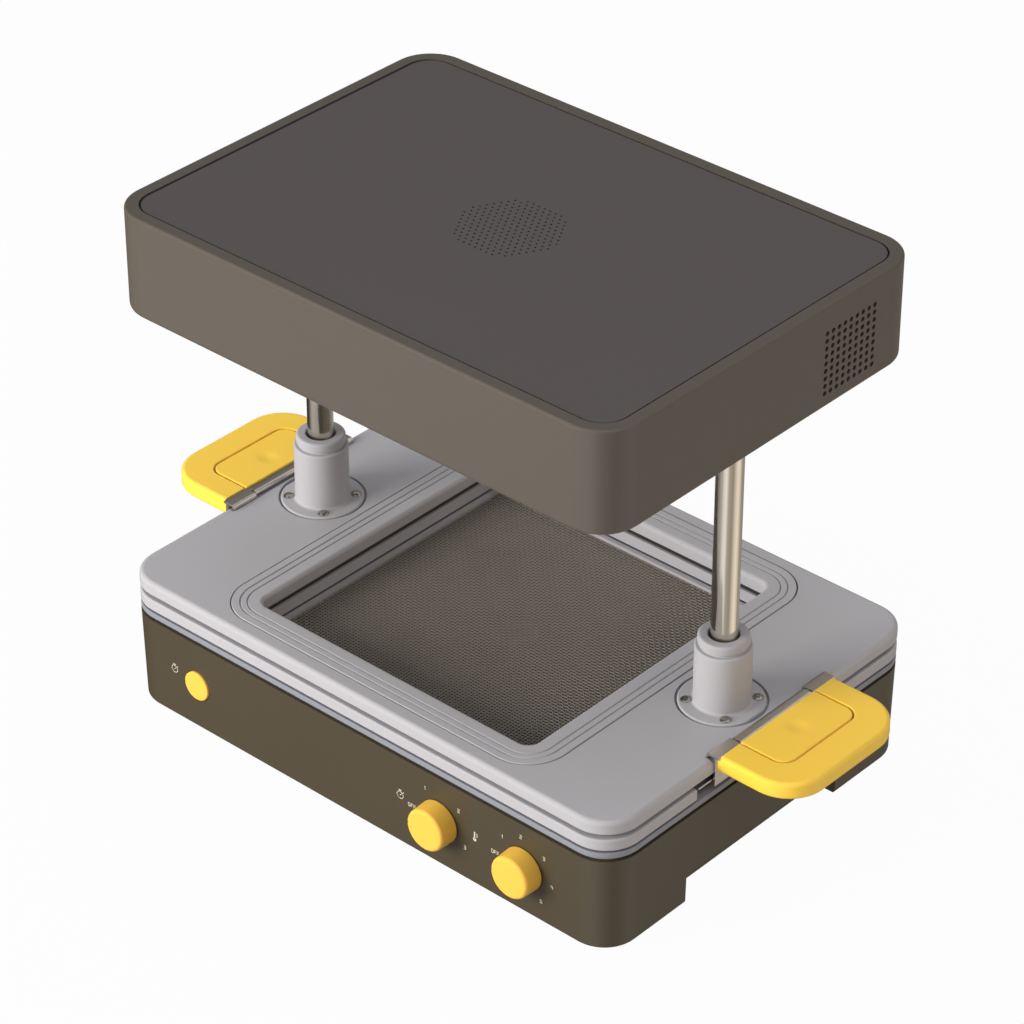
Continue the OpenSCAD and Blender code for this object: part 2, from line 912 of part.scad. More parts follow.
module control_nuts() {
    nut_y = -body_d / 2 - nut_t;
    color(steel)
        for (x = [timer_x, heater_x])
            translate([x, 0, control_z])
                difference() {
                    translate([0, nut_y, 0])
                        rotate([-90, 0, 0])
                            cylinder(r = nut_r, h = nut_t, $fn = 6);
                    rod_y(bushing_r + seat_gap, nut_y - over, nut_y + nut_t + over);
                }
}

module spindle(x) {
    color(steel)
        translate([x, 0, control_z])
            rod_y(spindle_r, knob_y - knob_reach + knob_cap + rest_gap, board_y - spindle_in);
}

module timer_spindle() {
    spindle(timer_x);
}

module heater_spindle() {
    spindle(heater_x);
}

module knob(x) {
    color(yellow)
        translate([x, knob_y, control_z])
            rotate([90, 0, 0])
                difference() {
                    rotate_extrude() {
                        square([knob_r, knob_reach - knob_edge_r]);
                        square([knob_r - knob_edge_r, knob_reach]);
                        translate([knob_r - knob_edge_r, knob_reach - knob_edge_r])
                            circle(r = knob_edge_r);
                    }
                    pillar(knob_recess_r, -over, knob_recess);
                    pillar(spindle_r + seat_gap, -over, knob_reach - knob_cap);
                    translate([-knob_r, 0, knob_reach])
                        rotate([0, 90, 0])
                            cylinder(r = index_r, h = 2 * index_l, center = true);
                }
}

module timer_knob() {
    knob(timer_x);
}

module heater_knob() {
    knob(heater_x);
}

module start_button() {
    flange_y = -wall_in_y + rest_gap;
    stem_end = board_y - switch_back - button_travel - rest_gap;
    cap_l = flange_y - button_face_y;
    color(yellow)
        translate([button_x, 0, control_z]) {
            translate([0, flange_y, 0])
                rotate([90, 0, 0])
                    rotate_extrude() {
                        square([button_r, cap_l - button_edge_r]);
                        square([button_r - button_edge_r, cap_l]);
                        translate([button_r - button_edge_r, cap_l - button_edge_r])
                            circle(r = button_edge_r);
                    }
            rod_y(button_r + button_flange_w, flange_y, flange_y + button_flange_t);
            rod_y(button_stem_r, flange_y, stem_end);
        }
}

module button_switch() {
    color(dark)
        translate([button_x, 0, control_z])
            difference() {
                block(-switch_w / 2, switch_w / 2, board_y - switch_l, board_y, -switch_w / 2, switch_w / 2);
                rod_y(button_stem_r + run_gap, board_y - switch_l - over, board_y - switch_back);
            }
}

// Posts and their fixings

module post(side) {
    color(steel)
        translate([side * post_x, 0, 0])
            ring(post_r, post_r - post_wall, floor_z, frame_z1 + clamp_h);
}

module post_left() {
    post(-1);
}

module post_right() {
    post(1);
}

// Plate with a tube, which holds a post upright
module post_holder(wall, z0, tube_h, plate_t, plate_l, screw_y) {
    difference() {
        union() {
            pillar(post_r + wall, z0, z0 + tube_h);
            block(-post_r - wall, post_r + wall, -plate_l / 2, plate_l / 2, z0, z0 + plate_t);
        }
        pillar(post_r + seat_gap, z0 - over, z0 + tube_h + over);
        for (sy = [-1, 1])
            translate([0, sy * screw_y, 0])
                pillar(screw_hole_r, z0 - over, z0 + plate_t + over);
    }
}

module post_sockets() {
    color(steel)
        at_posts()
            post_holder(socket_wall, floor_z, housing_z1 - floor_z, socket_plate_t, socket_plate_l,
                socket_screw_y);
}

module socket_screws() {
    color(steel)
        at_posts()
            for (sy = [-1, 1])
                translate([0, sy * socket_screw_y, 0])
                    screw(floor_z + socket_plate_t, socket_plate_t + housing_floor / 2);
}

module post_clamps() {
    color(steel)
        at_posts()
            post_holder(clamp_wall, frame_z1, clamp_h, clamp_plate_t, clamp_plate_l, clamp_screw_y);
}

module clamp_screws() {
    color(steel)
        at_posts()
            for (sy = [-1, 1])
                translate([0, sy * clamp_screw_y, 0])
                    screw(frame_z1 + clamp_plate_t, clamp_plate_t + frame_t);
}

// Hood

module at_hood() {
    translate([0, hood_y, 0])
        children();
}

module vent_holes() {
    first_y = vent_y - vent_pitch_y * (vent_count - 1) / 2;
    first_z = hood_z + vent_rise - vent_pitch_z * (vent_count - 1) / 2;
    for (i = [0 : vent_count - 1])
        for (j = [0 : vent_count - 1])
            translate([first_z + j * vent_pitch_z, first_y + i * vent_pitch_y])
                circle(r = vent_hole_r, $fn = 24);
}

module hood_shell() {
    color(hood_colour)
        difference() {
            at_hood()
                difference() {
                    union() {
                        difference() {
                            moulded_slab(hood_w, hood_d, hood_corner_r, hood_z, hood_z1)
                                edge_profile(hood_corner_r, hood_z, hood_z1, hood_low_r, hood_top_r);
                            plate(hood_in_w, hood_in_d, hood_in_r, hood_z - over, ledge_z0);
                        }
                        at_corners(column_x, column_y)
                            pillar(column_r, frame_z1, ledge_z0 + panel_ledge / 2);
                    }
                    plate(panel_open_w, panel_open_d, panel_open_r, panel_z0, hood_z1 + over);
                    plate(panel_open_w - 2 * ledge_w, panel_open_d - 2 * ledge_w, panel_open_r - ledge_w,
                        ledge_z0 - over, hood_z1);
                    at_corners(column_x, column_y)
                        pillar(screw_hole_r, frame_z1 - over, ledge_z0);
                }
            translate([-hood_w, 0, 0])
                rotate([0, 90, 0])
                    mirror([1, 0, 0])
                        linear_extrude(2 * hood_w)
                            vent_holes();
        }
}

// Places of the holes of a field in rows that are offset by half a pitch
function field_places() =
    let(row_h = field_pitch * sqrt(3) / 2, n = ceil(field_r / row_h))
    [for (j = [-n : n]) for (i = [-n : n])
        let(x = (i + (j % 2 == 0 ? 0 : 0.5)) * field_pitch, y = j * row_h)
        if (norm([x, y]) <= field_r) [x, y]];

module hood_top_panel() {
    color(panel_colour)
        at_hood()
            translate([0, 0, panel_z0])
                linear_extrude(panel_t)
                    difference() {
                        rounded_rect(panel_w, panel_d, panel_r);
                        for (p = field_places())
                            translate(p)
                                circle(r = field_hole_r, $fn = 24);
                    }
}

module hood_bottom_plate() {
    color(hood_colour)
        difference() {
            at_hood()
                plate(hood_in_w - 2 * fit_gap, hood_in_d - 2 * fit_gap, hood_in_r - fit_gap,
                    hood_plate_z0, hood_plate_z1);
            plate(hood_window_w, hood_window_w, window_r, hood_plate_z0 - over, hood_plate_z1 + over);
            at_posts()
                pillar(collar_pass_r, hood_plate_z0 - over, hood_plate_z1 + over);
            at_hood()
                at_corners(standoff_x, standoff_y)
                    pillar(screw_hole_r, hood_plate_z0 - over, hood_plate_z1 + over);
        }
}

module hood_frame() {
    color(steel)
        difference() {
            at_hood()
                plate(hood_in_w - 2 * frame_inset, hood_in_d - 2 * frame_inset, hood_in_r - frame_inset,
                    frame_z0, frame_z1);
            plate(frame_window_w, frame_window_d, window_r, frame_z0 - over, frame_z1 + over);
            at_posts() {
                pillar(post_r + seat_gap, frame_z0 - over, frame_z1 + over);
                for (sy = [-1, 1])
                    translate([0, sy * clamp_screw_y, 0])
                        pillar(screw_hole_r, frame_z0 - over, frame_z1 + over);
            }
            at_hood()
                at_corners(column_x, column_y)
                    pillar(screw_hole_r, frame_z0 - over, frame_z1 + over);
        }
}

module hood_standoffs() {
    color(steel)
        at_hood()
            at_corners(standoff_x, standoff_y)
                ring(standoff_r, screw_hole_r, hood_plate_z1, frame_z0);
}

module hood_screws() {
    color(steel)
        at_hood() {
            at_corners(column_x, column_y)
                screw_down(frame_z0, frame_drop);
            at_corners(standoff_x, standoff_y)
                screw_down(hood_plate_z0, frame_drop, base_plate_rise - seat_gap);
        }
}

// Heater

module heater_reflector() {
    in_w = reflector_w - 2 * reflector_t;
    z1 = hood_plate_z1 + reflector_h;
    color(steel)
        difference() {
            union() {
                plate(reflector_w, reflector_w, reflector_r, hood_plate_z1, z1);
                plate(reflector_w + 2 * reflector_flange, reflector_w + 2 * reflector_flange,
                    reflector_r + reflector_flange, hood_plate_z1, hood_plate_z1 + reflector_t);
            }
            plate(in_w, in_w, reflector_r - reflector_t, hood_plate_z1 - over, z1 - reflector_t);
        }
}

function tube_x(i) = (i - (tube_count - 1) / 2) * window_w / tube_count;

module heater_tubes() {
    holder_in = reflector_w / 2 - reflector_t - holder_t;
    color(ceramic)
        for (i = [0 : tube_count - 1])
            translate([tube_x(i), 0, tube_z])
                rod_y(tube_r, -holder_in - tube_seat, holder_in + tube_seat);
}

module heater_holders() {
    outer = reflector_w / 2 - reflector_t;
    color(ceramic)
        for (i = [0 : tube_count - 1])
            for (s = [0, 180])
                rotate(s)
                    translate([tube_x(i), 0, tube_z])
                        difference() {
                            block(-holder_w / 2, holder_w / 2, outer - holder_t, outer, -holder_h / 2,
                                holder_h / 2);
                            rod_y(tube_r + seat_gap, outer - holder_t - over,
                                outer - holder_t + tube_seat + seat_gap);
                        }
}

module heater_terminal() {
    z0 = hood_plate_z1 + reflector_h;
    color(ceramic)
        difference() {
            block(-terminal_w / 2, terminal_w / 2, -terminal_d / 2, terminal_d / 2, z0, z0 + terminal_h);
            for (i = [-1 : 1])
                translate([i * terminal_screw_pitch, 0, 0])
                    pillar(terminal_screw_r, z0 + terminal_h - terminal_screw_depth, z0 + terminal_h + over);
        }
}

// Lower tray

// Space cut out of the sides of the lower tray under the handles
module relief_space() {
    for (s = [-1, 1])
        translate([s * (relief_x + side_x) / 2, handle_y, 0])
            translate([s * side_x / 2, 0, lower_z0 - over])
                linear_extrude(lower_tray_t + 2 * over)
                    rounded_rect(side_x + side_x - relief_x, 2 * relief_half_l, relief_corner_r);
}

module lower_tray() {
    color(tray_colour)
        difference() {
            moulded_slab(body_w, body_d, body_corner_r, lower_z0, lower_z1)
                edge_profile(body_corner_r, lower_z0, lower_z1, low_edge_r, lower_top_r);
            plate(window_w, window_w, window_r, lower_z0 - over, lower_z1 + over);
            relief_space();
            at_posts() {
                pillar(bush_r + seat_gap, lower_z0 - over, lower_z1 + over);
                pillar(lower_flange_r + seat_gap, lower_z0 - over, lower_z0 + lower_flange_t);
            }
        }
}

module lower_bushes() {
    color(dark)
        at_posts()
            difference() {
                union() {
                    pillar(bush_r, deck_z1 + rest_gap, lower_z1);
                    pillar(lower_flange_r, deck_z1 + rest_gap, lower_z0 + lower_flange_t);
                }
                pillar(post_r + run_gap, deck_z1, lower_z1 + over);
            }
}

module sheet_gasket() {
    in_w = window_w + 2 * gasket_set;
    color(dark)
        difference() {
            plate(in_w + 2 * gasket_w, in_w + 2 * gasket_w, window_r + gasket_set + gasket_w, lower_z1,
                lower_z1 + gasket_t);
            plate(in_w, in_w, window_r + gasket_set, lower_z1 - over, lower_z1 + gasket_t + over);
        }
}

module catch_plates() {
    tip_z = lower_z1 - catch_tip_t;
    root_x = max(relief_x, catch_tip_x - (tip_z - lower_z0) / tan(catch_slope));
    color(steel)
        for (s = [0, 1])
            mirror([s, 0, 0])
                translate([0, handle_y, 0])
                    rotate([90, 0, 0])
                        linear_extrude(2 * catch_half_l, center = true)
                            polygon([[relief_x, lower_z0], [root_x, lower_z0], [catch_tip_x, tip_z],
                                [catch_tip_x, lower_z1], [relief_x, lower_z1]]);
}

// Upper tray

module upper_tray() {
    color(tray_colour)
        difference() {
            moulded_slab(body_w, body_d, body_corner_r, upper_z0, upper_z1)
                edge_profile(body_corner_r, upper_z0, upper_z1, low_edge_r, tray_edge_r);
            plate(insert_w + 2 * fit_gap, insert_w + 2 * fit_gap, insert_r + fit_gap,
                upper_z1 - tray_seat, upper_z1 + over);
            plate(insert_w + 2 * fit_gap - 2 * insert_flange_w, insert_w + 2 * fit_gap - 2 * insert_flange_w,
                insert_r + fit_gap - insert_flange_w, upper_z0 - over, upper_z1);
            for (s = [-1, 1])
                translate([s * side_x, handle_y, 0])
                    block(-rebate_w, rebate_w, -plate_half_l - rest_gap, plate_half_l + rest_gap, rebate_z,
                        upper_z1 + over);
            at_posts() {
                pillar(collar_flange_r + flange_clear, flange_z0, upper_z1 + over);
                pillar(spigot_r + seat_gap, upper_z0 - over, upper_z1);
                flange_screw_places()
                    pillar(screw_hole_r, upper_z0 + over, upper_z1);
            }
            for (s = [0, 1])
                mirror([s, 0, 0])
                    translate([0, handle_y, bracket_screw_z])
                        rod_x(screw_hole_r, side_x - handle_screw_l, side_x + over);
        }
}

module upper_insert() {
    color(tray_colour)
        swept_rim(insert_w, insert_w, insert_r)
            difference() {
                union() {
                    difference() {
                        translate([window_r, upper_z0])
                            square([insert_side - insert_flange_w, insert_z1 - upper_z0]);
                        translate([window_r, insert_z1 - insert_edge_r])
                            square(insert_edge_r);
                    }
                    translate([window_r + insert_edge_r, insert_z1 - insert_edge_r])
                        circle(r = insert_edge_r);
                    translate([insert_r - insert_flange_w, upper_z1 - tray_seat])
                        square([insert_flange_w, tray_seat + insert_rise]);
                }
                for (g = insert_groove_in)
                    translate([insert_r - g, insert_z1 - insert_groove_depth])
                        square([insert_groove_w, insert_groove_depth + over]);
            }
}

module flange_screw_places() {
    for (i = [0 : flange_screw_count - 1])
        rotate((i + 0.5) * 360 / flange_screw_count)
            translate([flange_screw_r, 0, 0])
                children();
}

module collar(side) {
    ring_w = collar_r - collar_ring_inset - collar_mouth_r;
    color(tray_colour)
        translate([side * post_x, 0, 0])
            difference() {
                union() {
                    pillar(spigot_r, upper_z0, flange_z0);
                    pillar(collar_flange_r, flange_z0, flange_z0 + flange_t);
                    pillar(collar_r, flange_z0, collar_body_z1);
                    pillar(collar_r - collar_groove_inset, flange_z0, collar_z1 - over);
                    rotate_extrude() {
                        translate([collar_mouth_r, collar_ring_z0])
                            square([ring_w - collar_edge_r, collar_ring_h]);
                        translate([collar_mouth_r, collar_ring_z0])
                            square([ring_w, collar_ring_h - collar_edge_r]);
                        translate([collar_mouth_r + ring_w - collar_edge_r, collar_z1 - collar_edge_r])
                            circle(r = collar_edge_r);
                    }
                }
                pillar(collar_mouth_r, upper_z0 - over, collar_z1 + over);
                for (z = [upper_z0, collar_top_bush_z])
                    pillar(bush_r + seat_gap, z - (z == upper_z0 ? over : 0), z + collar_bush_h);
                flange_screw_places()
                    pillar(screw_hole_r, flange_z0 - over, flange_z0 + flange_t + over);
                translate([side * (flange_flat_x + collar_flange_r), 0, 0])
                    block(-collar_flange_r, collar_flange_r, -collar_flange_r, collar_flange_r,
                        flange_z0 - over, flange_z0 + flange_t + over);
            }
}

module collar_left() {
    collar(-1);
}

module collar_right() {
    collar(1);
}

module collar_bushes() {
    color(dark)
        at_posts()
            for (z = [upper_z0, collar_top_bush_z])
                ring(bush_r, post_r + run_gap, z, z + collar_bush_h);
}

module collar_screws() {
    color(steel)
        at_posts()
            flange_screw_places()
                screw(flange_z0 + flange_t, flange_t + over);
}

// Handles, brackets and latches, drawn for the right side

module on_side(side) {
    mirror([side < 0 ? 1 : 0, 0, 0])
        translate([0, handle_y, 0])
            children();
}

// Slot of the lever in the handle, as a plan grown by extra
module lever_plan(extra) {
    r = lever_corner_r + extra;
    x1 = side_x + lever_reach + extra;
    translate([x1 - r - side_x / 2, 0])
        rounded_rect(2 * r + side_x, lever_l + 2 * extra, r);
}

module bracket(side) {
    color(steel)
        on_side(side)
            difference() {
                union() {
                    for (s = [0, 1])
                        mirror([0, s, 0]) {
                            block(bracket_in_x, flange_x + bracket_over, lever_half_l, plate_half_l,
                                steel_z1 - sheet_t, steel_z1);
                            block(bracket_in_x, bracket_in_x + sheet_t, lever_half_l, plate_half_l,
                                rebate_z, steel_z1);
                            block(side_x, flange_x, lever_half_l, plate_half_l,
                                upper_z0 - bracket_drop, steel_z1);
                            block(bracket_in_x, flange_x, lever_half_l, lever_half_l + ear_t,
                                rebate_z, steel_z1);
                        }
                    block(side_x, flange_x, -plate_half_l, plate_half_l, upper_z0, rebate_z - bar_drop / 2);
                }
                translate([hinge_x, 0, hinge_z])
                    rod_y(pin_r + seat_gap, -plate_half_l - over, plate_half_l + over);
                for (s = [-1, 1])
                    translate([0, s * arm_screw_y, handle_z0 + handle_t / 2]) {
                        rod_x(screw_hole_r, side_x - over, flange_x + over);
                        rod_x(handle_screw_head_r + seat_gap, side_x - over, side_x + handle_screw_head_t);
                    }
                translate([0, 0, bracket_screw_z])
                    rod_x(screw_hole_r, side_x - over, flange_x + over);
            }
}

module bracket_left() {
    bracket(-1);
}

module bracket_right() {
    bracket(1);
}

module handle(side) {
    slab_w = 2 * handle_reach;
    color(yellow)
        on_side(side)
            difference() {
                intersection() {
                    translate([side_x, 0, 0])
                        moulded_slab(slab_w, handle_l, handle_corner_r, handle_z0, handle_z1)
                            edge_profile(handle_corner_r, handle_z0, handle_z1, handle_edge_r, handle_edge_r);
                    block(flange_x, side_x + handle_reach + over, -handle_l, handle_l, handle_z0 - over,
                        handle_z1 + over);
                }
                translate([0, 0, handle_z0 - over])
                    linear_extrude(handle_t + 2 * over)
                        lever_plan(lever_groove);
                block(flange_x - over, flange_x + bracket_over + fit_gap, -handle_l, handle_l,
                    steel_z1 - sheet_t - fit_gap, handle_z1 + over);
                for (s = [-1, 1])
                    translate([0, s * arm_screw_y, handle_z0 + handle_t / 2])
                        rod_x(screw_hole_r, flange_x - over, flange_x + handle_screw_l);
            }
}

module handle_left() {
    handle(-1);
}

module handle_right() {
    handle(1);
}

module handle_screws() {
    color(steel)
        for (side = [-1, 1])
            on_side(side) {
                for (s = [-1, 1])
                    translate([0, s * arm_screw_y, handle_z0 + handle_t / 2]) {
                        rod_x(handle_screw_r, side_x, flange_x + handle_screw_l - screw_end_gap);
                        rod_x(handle_screw_head_r, side_x, side_x + handle_screw_head_t);
                    }
                translate([0, 0, bracket_screw_z]) {
                    rod_x(handle_screw_r, side_x - handle_screw_l + screw_end_gap, flange_x);
                    rod_x(handle_screw_head_r, flange_x, flange_x + screw_head_h);
                }
            }
}

module latch_pins() {
    color(steel)
        for (side = [-1, 1])
            on_side(side)
                translate([hinge_x, 0, hinge_z])
                    rod_y(pin_r, -lever_half_l - ear_t, lever_half_l + ear_t);
}

module hook(side) {
    barrel_l = lever_l - 2 * barrel_end_gap;
    lip_top = lower_z1 - catch_tip_t - hook_gap;
    lip_in_z = lip_top - (catch_tip_x - hook_in_x) * tan(catch_slope);
    lip_out_z = lip_top + (leg_x - catch_tip_x) * tan(catch_slope);
    color(steel)
        on_side(side)
            difference() {
                union() {
                    translate([hinge_x, 0, hinge_z])
                        rod_y(barrel_r, -barrel_l / 2, barrel_l / 2);
                    block(hinge_x, leg_out_x, -barrel_l / 2, barrel_l / 2, steel_z1 - sheet_t, steel_z1);
                    block(leg_x, leg_out_x, -barrel_l / 2, barrel_l / 2, tab_z1 - sheet_t, steel_z1);
                    block(leg_x, side_x + tab_l, -stud_y - 2 * stud_r, stud_y + 2 * stud_r,
                        tab_z1 - sheet_t, tab_z1);
                    for (s = [-1, 1]) {
                        block(leg_x, leg_out_x, s * leg_y - leg_w / 2, s * leg_y + leg_w / 2, leg_foot_z,
                            steel_z1);
                        translate([0, s * leg_y, 0])
                            rotate([90, 0, 0])
                                linear_extrude(leg_w, center = true)
                                    polygon([[hook_in_x, leg_foot_z], [leg_out_x, leg_foot_z],
                                        [leg_out_x, lip_out_z], [leg_x, lip_out_z], [hook_in_x, lip_in_z]]);
                        translate([side_x + tab_l / 2 + stud_r, s * stud_y, 0])
                            pillar(stud_r, tab_z1 - sheet_t, tab_z1 + stud_h);
                    }
                }
                translate([hinge_x, 0, hinge_z])
                    rod_y(pin_r + run_gap, -barrel_l, barrel_l);
            }
}

module hook_left() {
    hook(-1);
}

module hook_right() {
    hook(1);
}

module lever(side) {
    dish_r = (lever_dish_r * lever_dish_r + lever_dish * lever_dish) / (2 * lever_dish);
    color(yellow)
        on_side(side)
            difference() {
                intersection() {
                    translate([0, 0, tab_z1])
                        linear_extrude(tab_drop)
                            lever_plan(0);
                    block(leg_out_x + seat_gap, side_x + lever_reach + over, -lever_l, lever_l, tab_z1 - over,
                        handle_z1 + over);
                }
                translate([side_x + lever_reach / 2, 0, handle_z1 + dish_r - lever_dish])
                    sphere(r = dish_r);
                for (s = [-1, 1])
                    translate([side_x + tab_l / 2 + stud_r, s * stud_y, 0])
                        pillar(stud_r + seat_gap, tab_z1 - over, tab_z1 + stud_h + seat_gap);
            }
}

module lever_left() {
    lever(-1);
}

module lever_right() {
    lever(1);
}

base_housing();
base_deck();
bottom_plate();
bottom_screws();
feet();
vacuum_plenum();
bed_rim();
vacuum_mesh();
suction_duct();
vacuum_port();
mains_inlet();
control_board();
board_screws();
timer_control();
heater_control();
control_nuts();
timer_spindle();
heater_spindle();
timer_knob();
heater_knob();
start_button();
button_switch();
post_left();
post_right();
post_sockets();
socket_screws();
post_clamps();
clamp_screws();
hood_shell();
hood_top_panel();
hood_bottom_plate();
hood_frame();
hood_standoffs();
hood_screws();
heater_reflector();
heater_tubes();
heater_holders();
heater_terminal();
lower_tray();
lower_bushes();
sheet_gasket();
catch_plates();
upper_tray();
upper_insert();
collar_left();
collar_right();
collar_bushes();
collar_screws();
bracket_left();
bracket_right();
handle_left();
handle_right();
handle_screws();
latch_pins();
hook_left();
hook_right();
lever_left();
lever_right();
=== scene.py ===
import math

import bmesh
import bpy
from mathutils import Matrix, Vector


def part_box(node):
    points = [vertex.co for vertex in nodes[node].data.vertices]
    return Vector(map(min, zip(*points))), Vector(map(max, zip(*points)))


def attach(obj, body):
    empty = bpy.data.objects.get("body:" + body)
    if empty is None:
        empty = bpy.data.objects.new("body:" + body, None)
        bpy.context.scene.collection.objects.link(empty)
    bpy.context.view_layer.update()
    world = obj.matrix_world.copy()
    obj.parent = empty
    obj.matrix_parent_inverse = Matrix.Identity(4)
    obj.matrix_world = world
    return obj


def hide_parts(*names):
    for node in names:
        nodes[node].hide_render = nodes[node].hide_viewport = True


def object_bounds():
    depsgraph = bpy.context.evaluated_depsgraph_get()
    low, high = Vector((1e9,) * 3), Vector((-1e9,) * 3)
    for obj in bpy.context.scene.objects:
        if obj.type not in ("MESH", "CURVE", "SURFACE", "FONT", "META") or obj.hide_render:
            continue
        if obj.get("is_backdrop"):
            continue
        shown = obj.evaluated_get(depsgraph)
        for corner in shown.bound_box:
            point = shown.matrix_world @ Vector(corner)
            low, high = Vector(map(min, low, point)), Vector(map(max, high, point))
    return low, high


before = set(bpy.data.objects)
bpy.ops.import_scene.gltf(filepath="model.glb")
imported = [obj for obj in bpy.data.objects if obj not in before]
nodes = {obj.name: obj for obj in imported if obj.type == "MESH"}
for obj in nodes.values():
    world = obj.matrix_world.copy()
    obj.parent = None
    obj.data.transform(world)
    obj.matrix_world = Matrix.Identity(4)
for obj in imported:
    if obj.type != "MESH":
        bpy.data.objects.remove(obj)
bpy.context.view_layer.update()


# Base housing
# A dark moulded box with a slight draft, open at the top, with a finger notch under each side. It is
# injection moulded in one piece with a fine spark grain; a floor plate, screws and four feet close it.

mm = 0.001


def seen_as(red, green, blue):
    """Linear colour of what a screen shows with these values."""
    shares = [value / 255 for value in (red, green, blue)]
    return tuple(s / 12.92 if s <= 0.04045 else ((s + 0.055) / 1.055) ** 2.4 for s in shares)


def node(tree, kind, **values):
    """Adds a shader or geometry node and sets its plain properties."""
    made = tree.nodes.new(kind)
    for name, value in values.items():
        setattr(made, name, value)
    return made


def feed(tree, sockets, *values):
    """Fills input sockets in turn, each with a link or a plain value."""
    for socket, value in zip(sockets, values):
        if isinstance(value, bpy.types.NodeSocket):
            tree.links.new(value, socket)
        else:
            socket.default_value = value


def maths(tree, operation, *values):
    """Result of a maths node on links or plain values."""
    made = node(tree, "ShaderNodeMath", operation=operation)
    feed(tree, made.inputs, *values)
    return made.outputs[0]


def open_tree(kind, name, inputs, outputs):
    """Starts a node tree with named sockets and returns it with its input and its output node."""
    tree = bpy.data.node_groups.new(name, kind)
    for label, sort, value in inputs:
        socket = tree.interface.new_socket(name=label, in_out="INPUT", socket_type="NodeSocket" + sort)
        if value is not None:
            socket.default_value = value
    for label, sort in outputs:
        tree.interface.new_socket(name=label, in_out="OUTPUT", socket_type="NodeSocket" + sort)
    return tree, node(tree, "NodeGroupInput"), node(tree, "NodeGroupOutput")


def open_surface(name, *more_inputs):
    """Starts a shader group that gives a surface its colour, gloss and relief."""
    inputs = [("Colour", "Color", (1, 1, 1, 1)), ("Roughness", "Float", 0.5), ("Relief", "Float", 0.01 * mm)]
    outputs = [("Colour", "Color"), ("Roughness", "Float"), ("Normal", "Vector")]
    return open_tree("ShaderNodeTree", name, inputs + list(more_inputs), outputs)


def noise(tree, place, scale, detail):
    """Noise pattern over a place."""
    made = node(tree, "ShaderNodeTexNoise")
    feed(tree, [made.inputs[label] for label in ("Vector", "Scale", "Detail")], place, scale, detail)
    return made.outputs["Fac"]


def vary(tree, given, out, pattern, middle, share, height):
    """Lets a pattern shift a surface's colour and gloss by a share of them, and a height raise its relief."""
    shift = maths(tree, "MULTIPLY_ADD", maths(tree, "SUBTRACT", pattern, middle), given.outputs[share], 1)
    gloss = maths(tree, "MULTIPLY", given.outputs["Roughness"], shift)
    tint = node(tree, "ShaderNodeVectorMath", operation="SCALE")
    feed(tree, [tint.inputs[0], tint.inputs["Scale"]], given.outputs["Colour"], shift)
    relief = node(tree, "ShaderNodeBump")
    feed(tree, [relief.inputs[label] for label in ("Height", "Distance")], height, given.outputs["Relief"])
    for label, result in (("Colour", tint.outputs[0]), ("Roughness", gloss), ("Normal", relief.outputs[0])):
        tree.links.new(result, out.inputs[label])


def make_grain():
    """Speckled colour, uneven gloss and shallow relief of a moulded or sprayed surface."""
    tree, given, out = open_surface(
        "surface_grain", ("Grain Size", "Float", 0.5 * mm), ("Mottle", "Float", 0.05))
    place = node(tree, "ShaderNodeTexCoord").outputs["Object"]
    fine = noise(tree, place, maths(tree, "DIVIDE", 1, given.outputs["Grain Size"]), 2)
    wide = noise(tree, place, 14, 3)
    vary(tree, given, out, maths(tree, "ADD", fine, wide), 1, "Mottle", fine)
    return tree


surface_grain = make_grain()


def finish_from(name, group, settings, shader_values):
    """Material whose colour, gloss and relief come from a surface group with these settings."""
    material = bpy.data.materials.new(name)
    material.use_nodes = True
    tree = material.node_tree
    shader = tree.nodes["Principled BSDF"]
    surface = node(tree, "ShaderNodeGroup", node_tree=group)
    for label, value in settings.items():
        surface.inputs[label].default_value = value
    for result, taken in (("Colour", "Base Color"), ("Roughness", "Roughness"), ("Normal", "Normal")):
        tree.links.new(surface.outputs[result], shader.inputs[taken])
    for label, value in shader_values.items():
        shader.inputs[label].default_value = value
    return material


def coated(name, colour, roughness, grain=0.5, relief=0.02, mottle=0.05, **shader_values):
    """Plastic, paint or rubber with the surface grain. Sizes are in millimetres."""
    return finish_from(name, surface_grain, {
        "Colour": (*colour, 1), "Roughness": roughness, "Grain Size": grain * mm, "Relief": relief * mm,
        "Mottle": mottle}, shader_values)


def dress(material, *names):
    """Gives parts of the frame a finish."""
    for name in names:
        nodes[name].data.materials.clear()
        nodes[name].data.materials.append(material)


housing_plastic = coated("housing_plastic", seen_as(69, 62, 48), 0.42, grain=0.7, relief=0.02, mottle=0.08)
dress(housing_plastic, "base_housing", "bottom_plate")
dress(coated("foot_rubber", seen_as(28, 27, 26), 0.8, grain=0.9, relief=0.05, mottle=0.15), "feet")


# Deck plate
# A blue-grey coated plate that closes the housing above a thin shadow gap and carries the bed.

deck_paint = coated("deck_paint", seen_as(134, 137, 147), 0.4, grain=0.35, relief=0.008, mottle=0.04)
dress(deck_paint, "base_deck")


# Suction bed
# A dark pan with a suction hole, a woven wire cloth over it and a pale rim round the cloth. The cloth
# is a plain weave of two sets of crimped round wires, cut square and laid into the rim.

mesh_pitch = 2.12 * mm
mesh_wire_d = 0.8 * mm
wire_sides = 4


def triple(tree, x=0.0, y=0.0, z=0.0):
    """Vector of three links or plain values."""
    made = node(tree, "ShaderNodeCombineXYZ")
    feed(tree, made.inputs, x, y, z)
    return made.outputs[0]


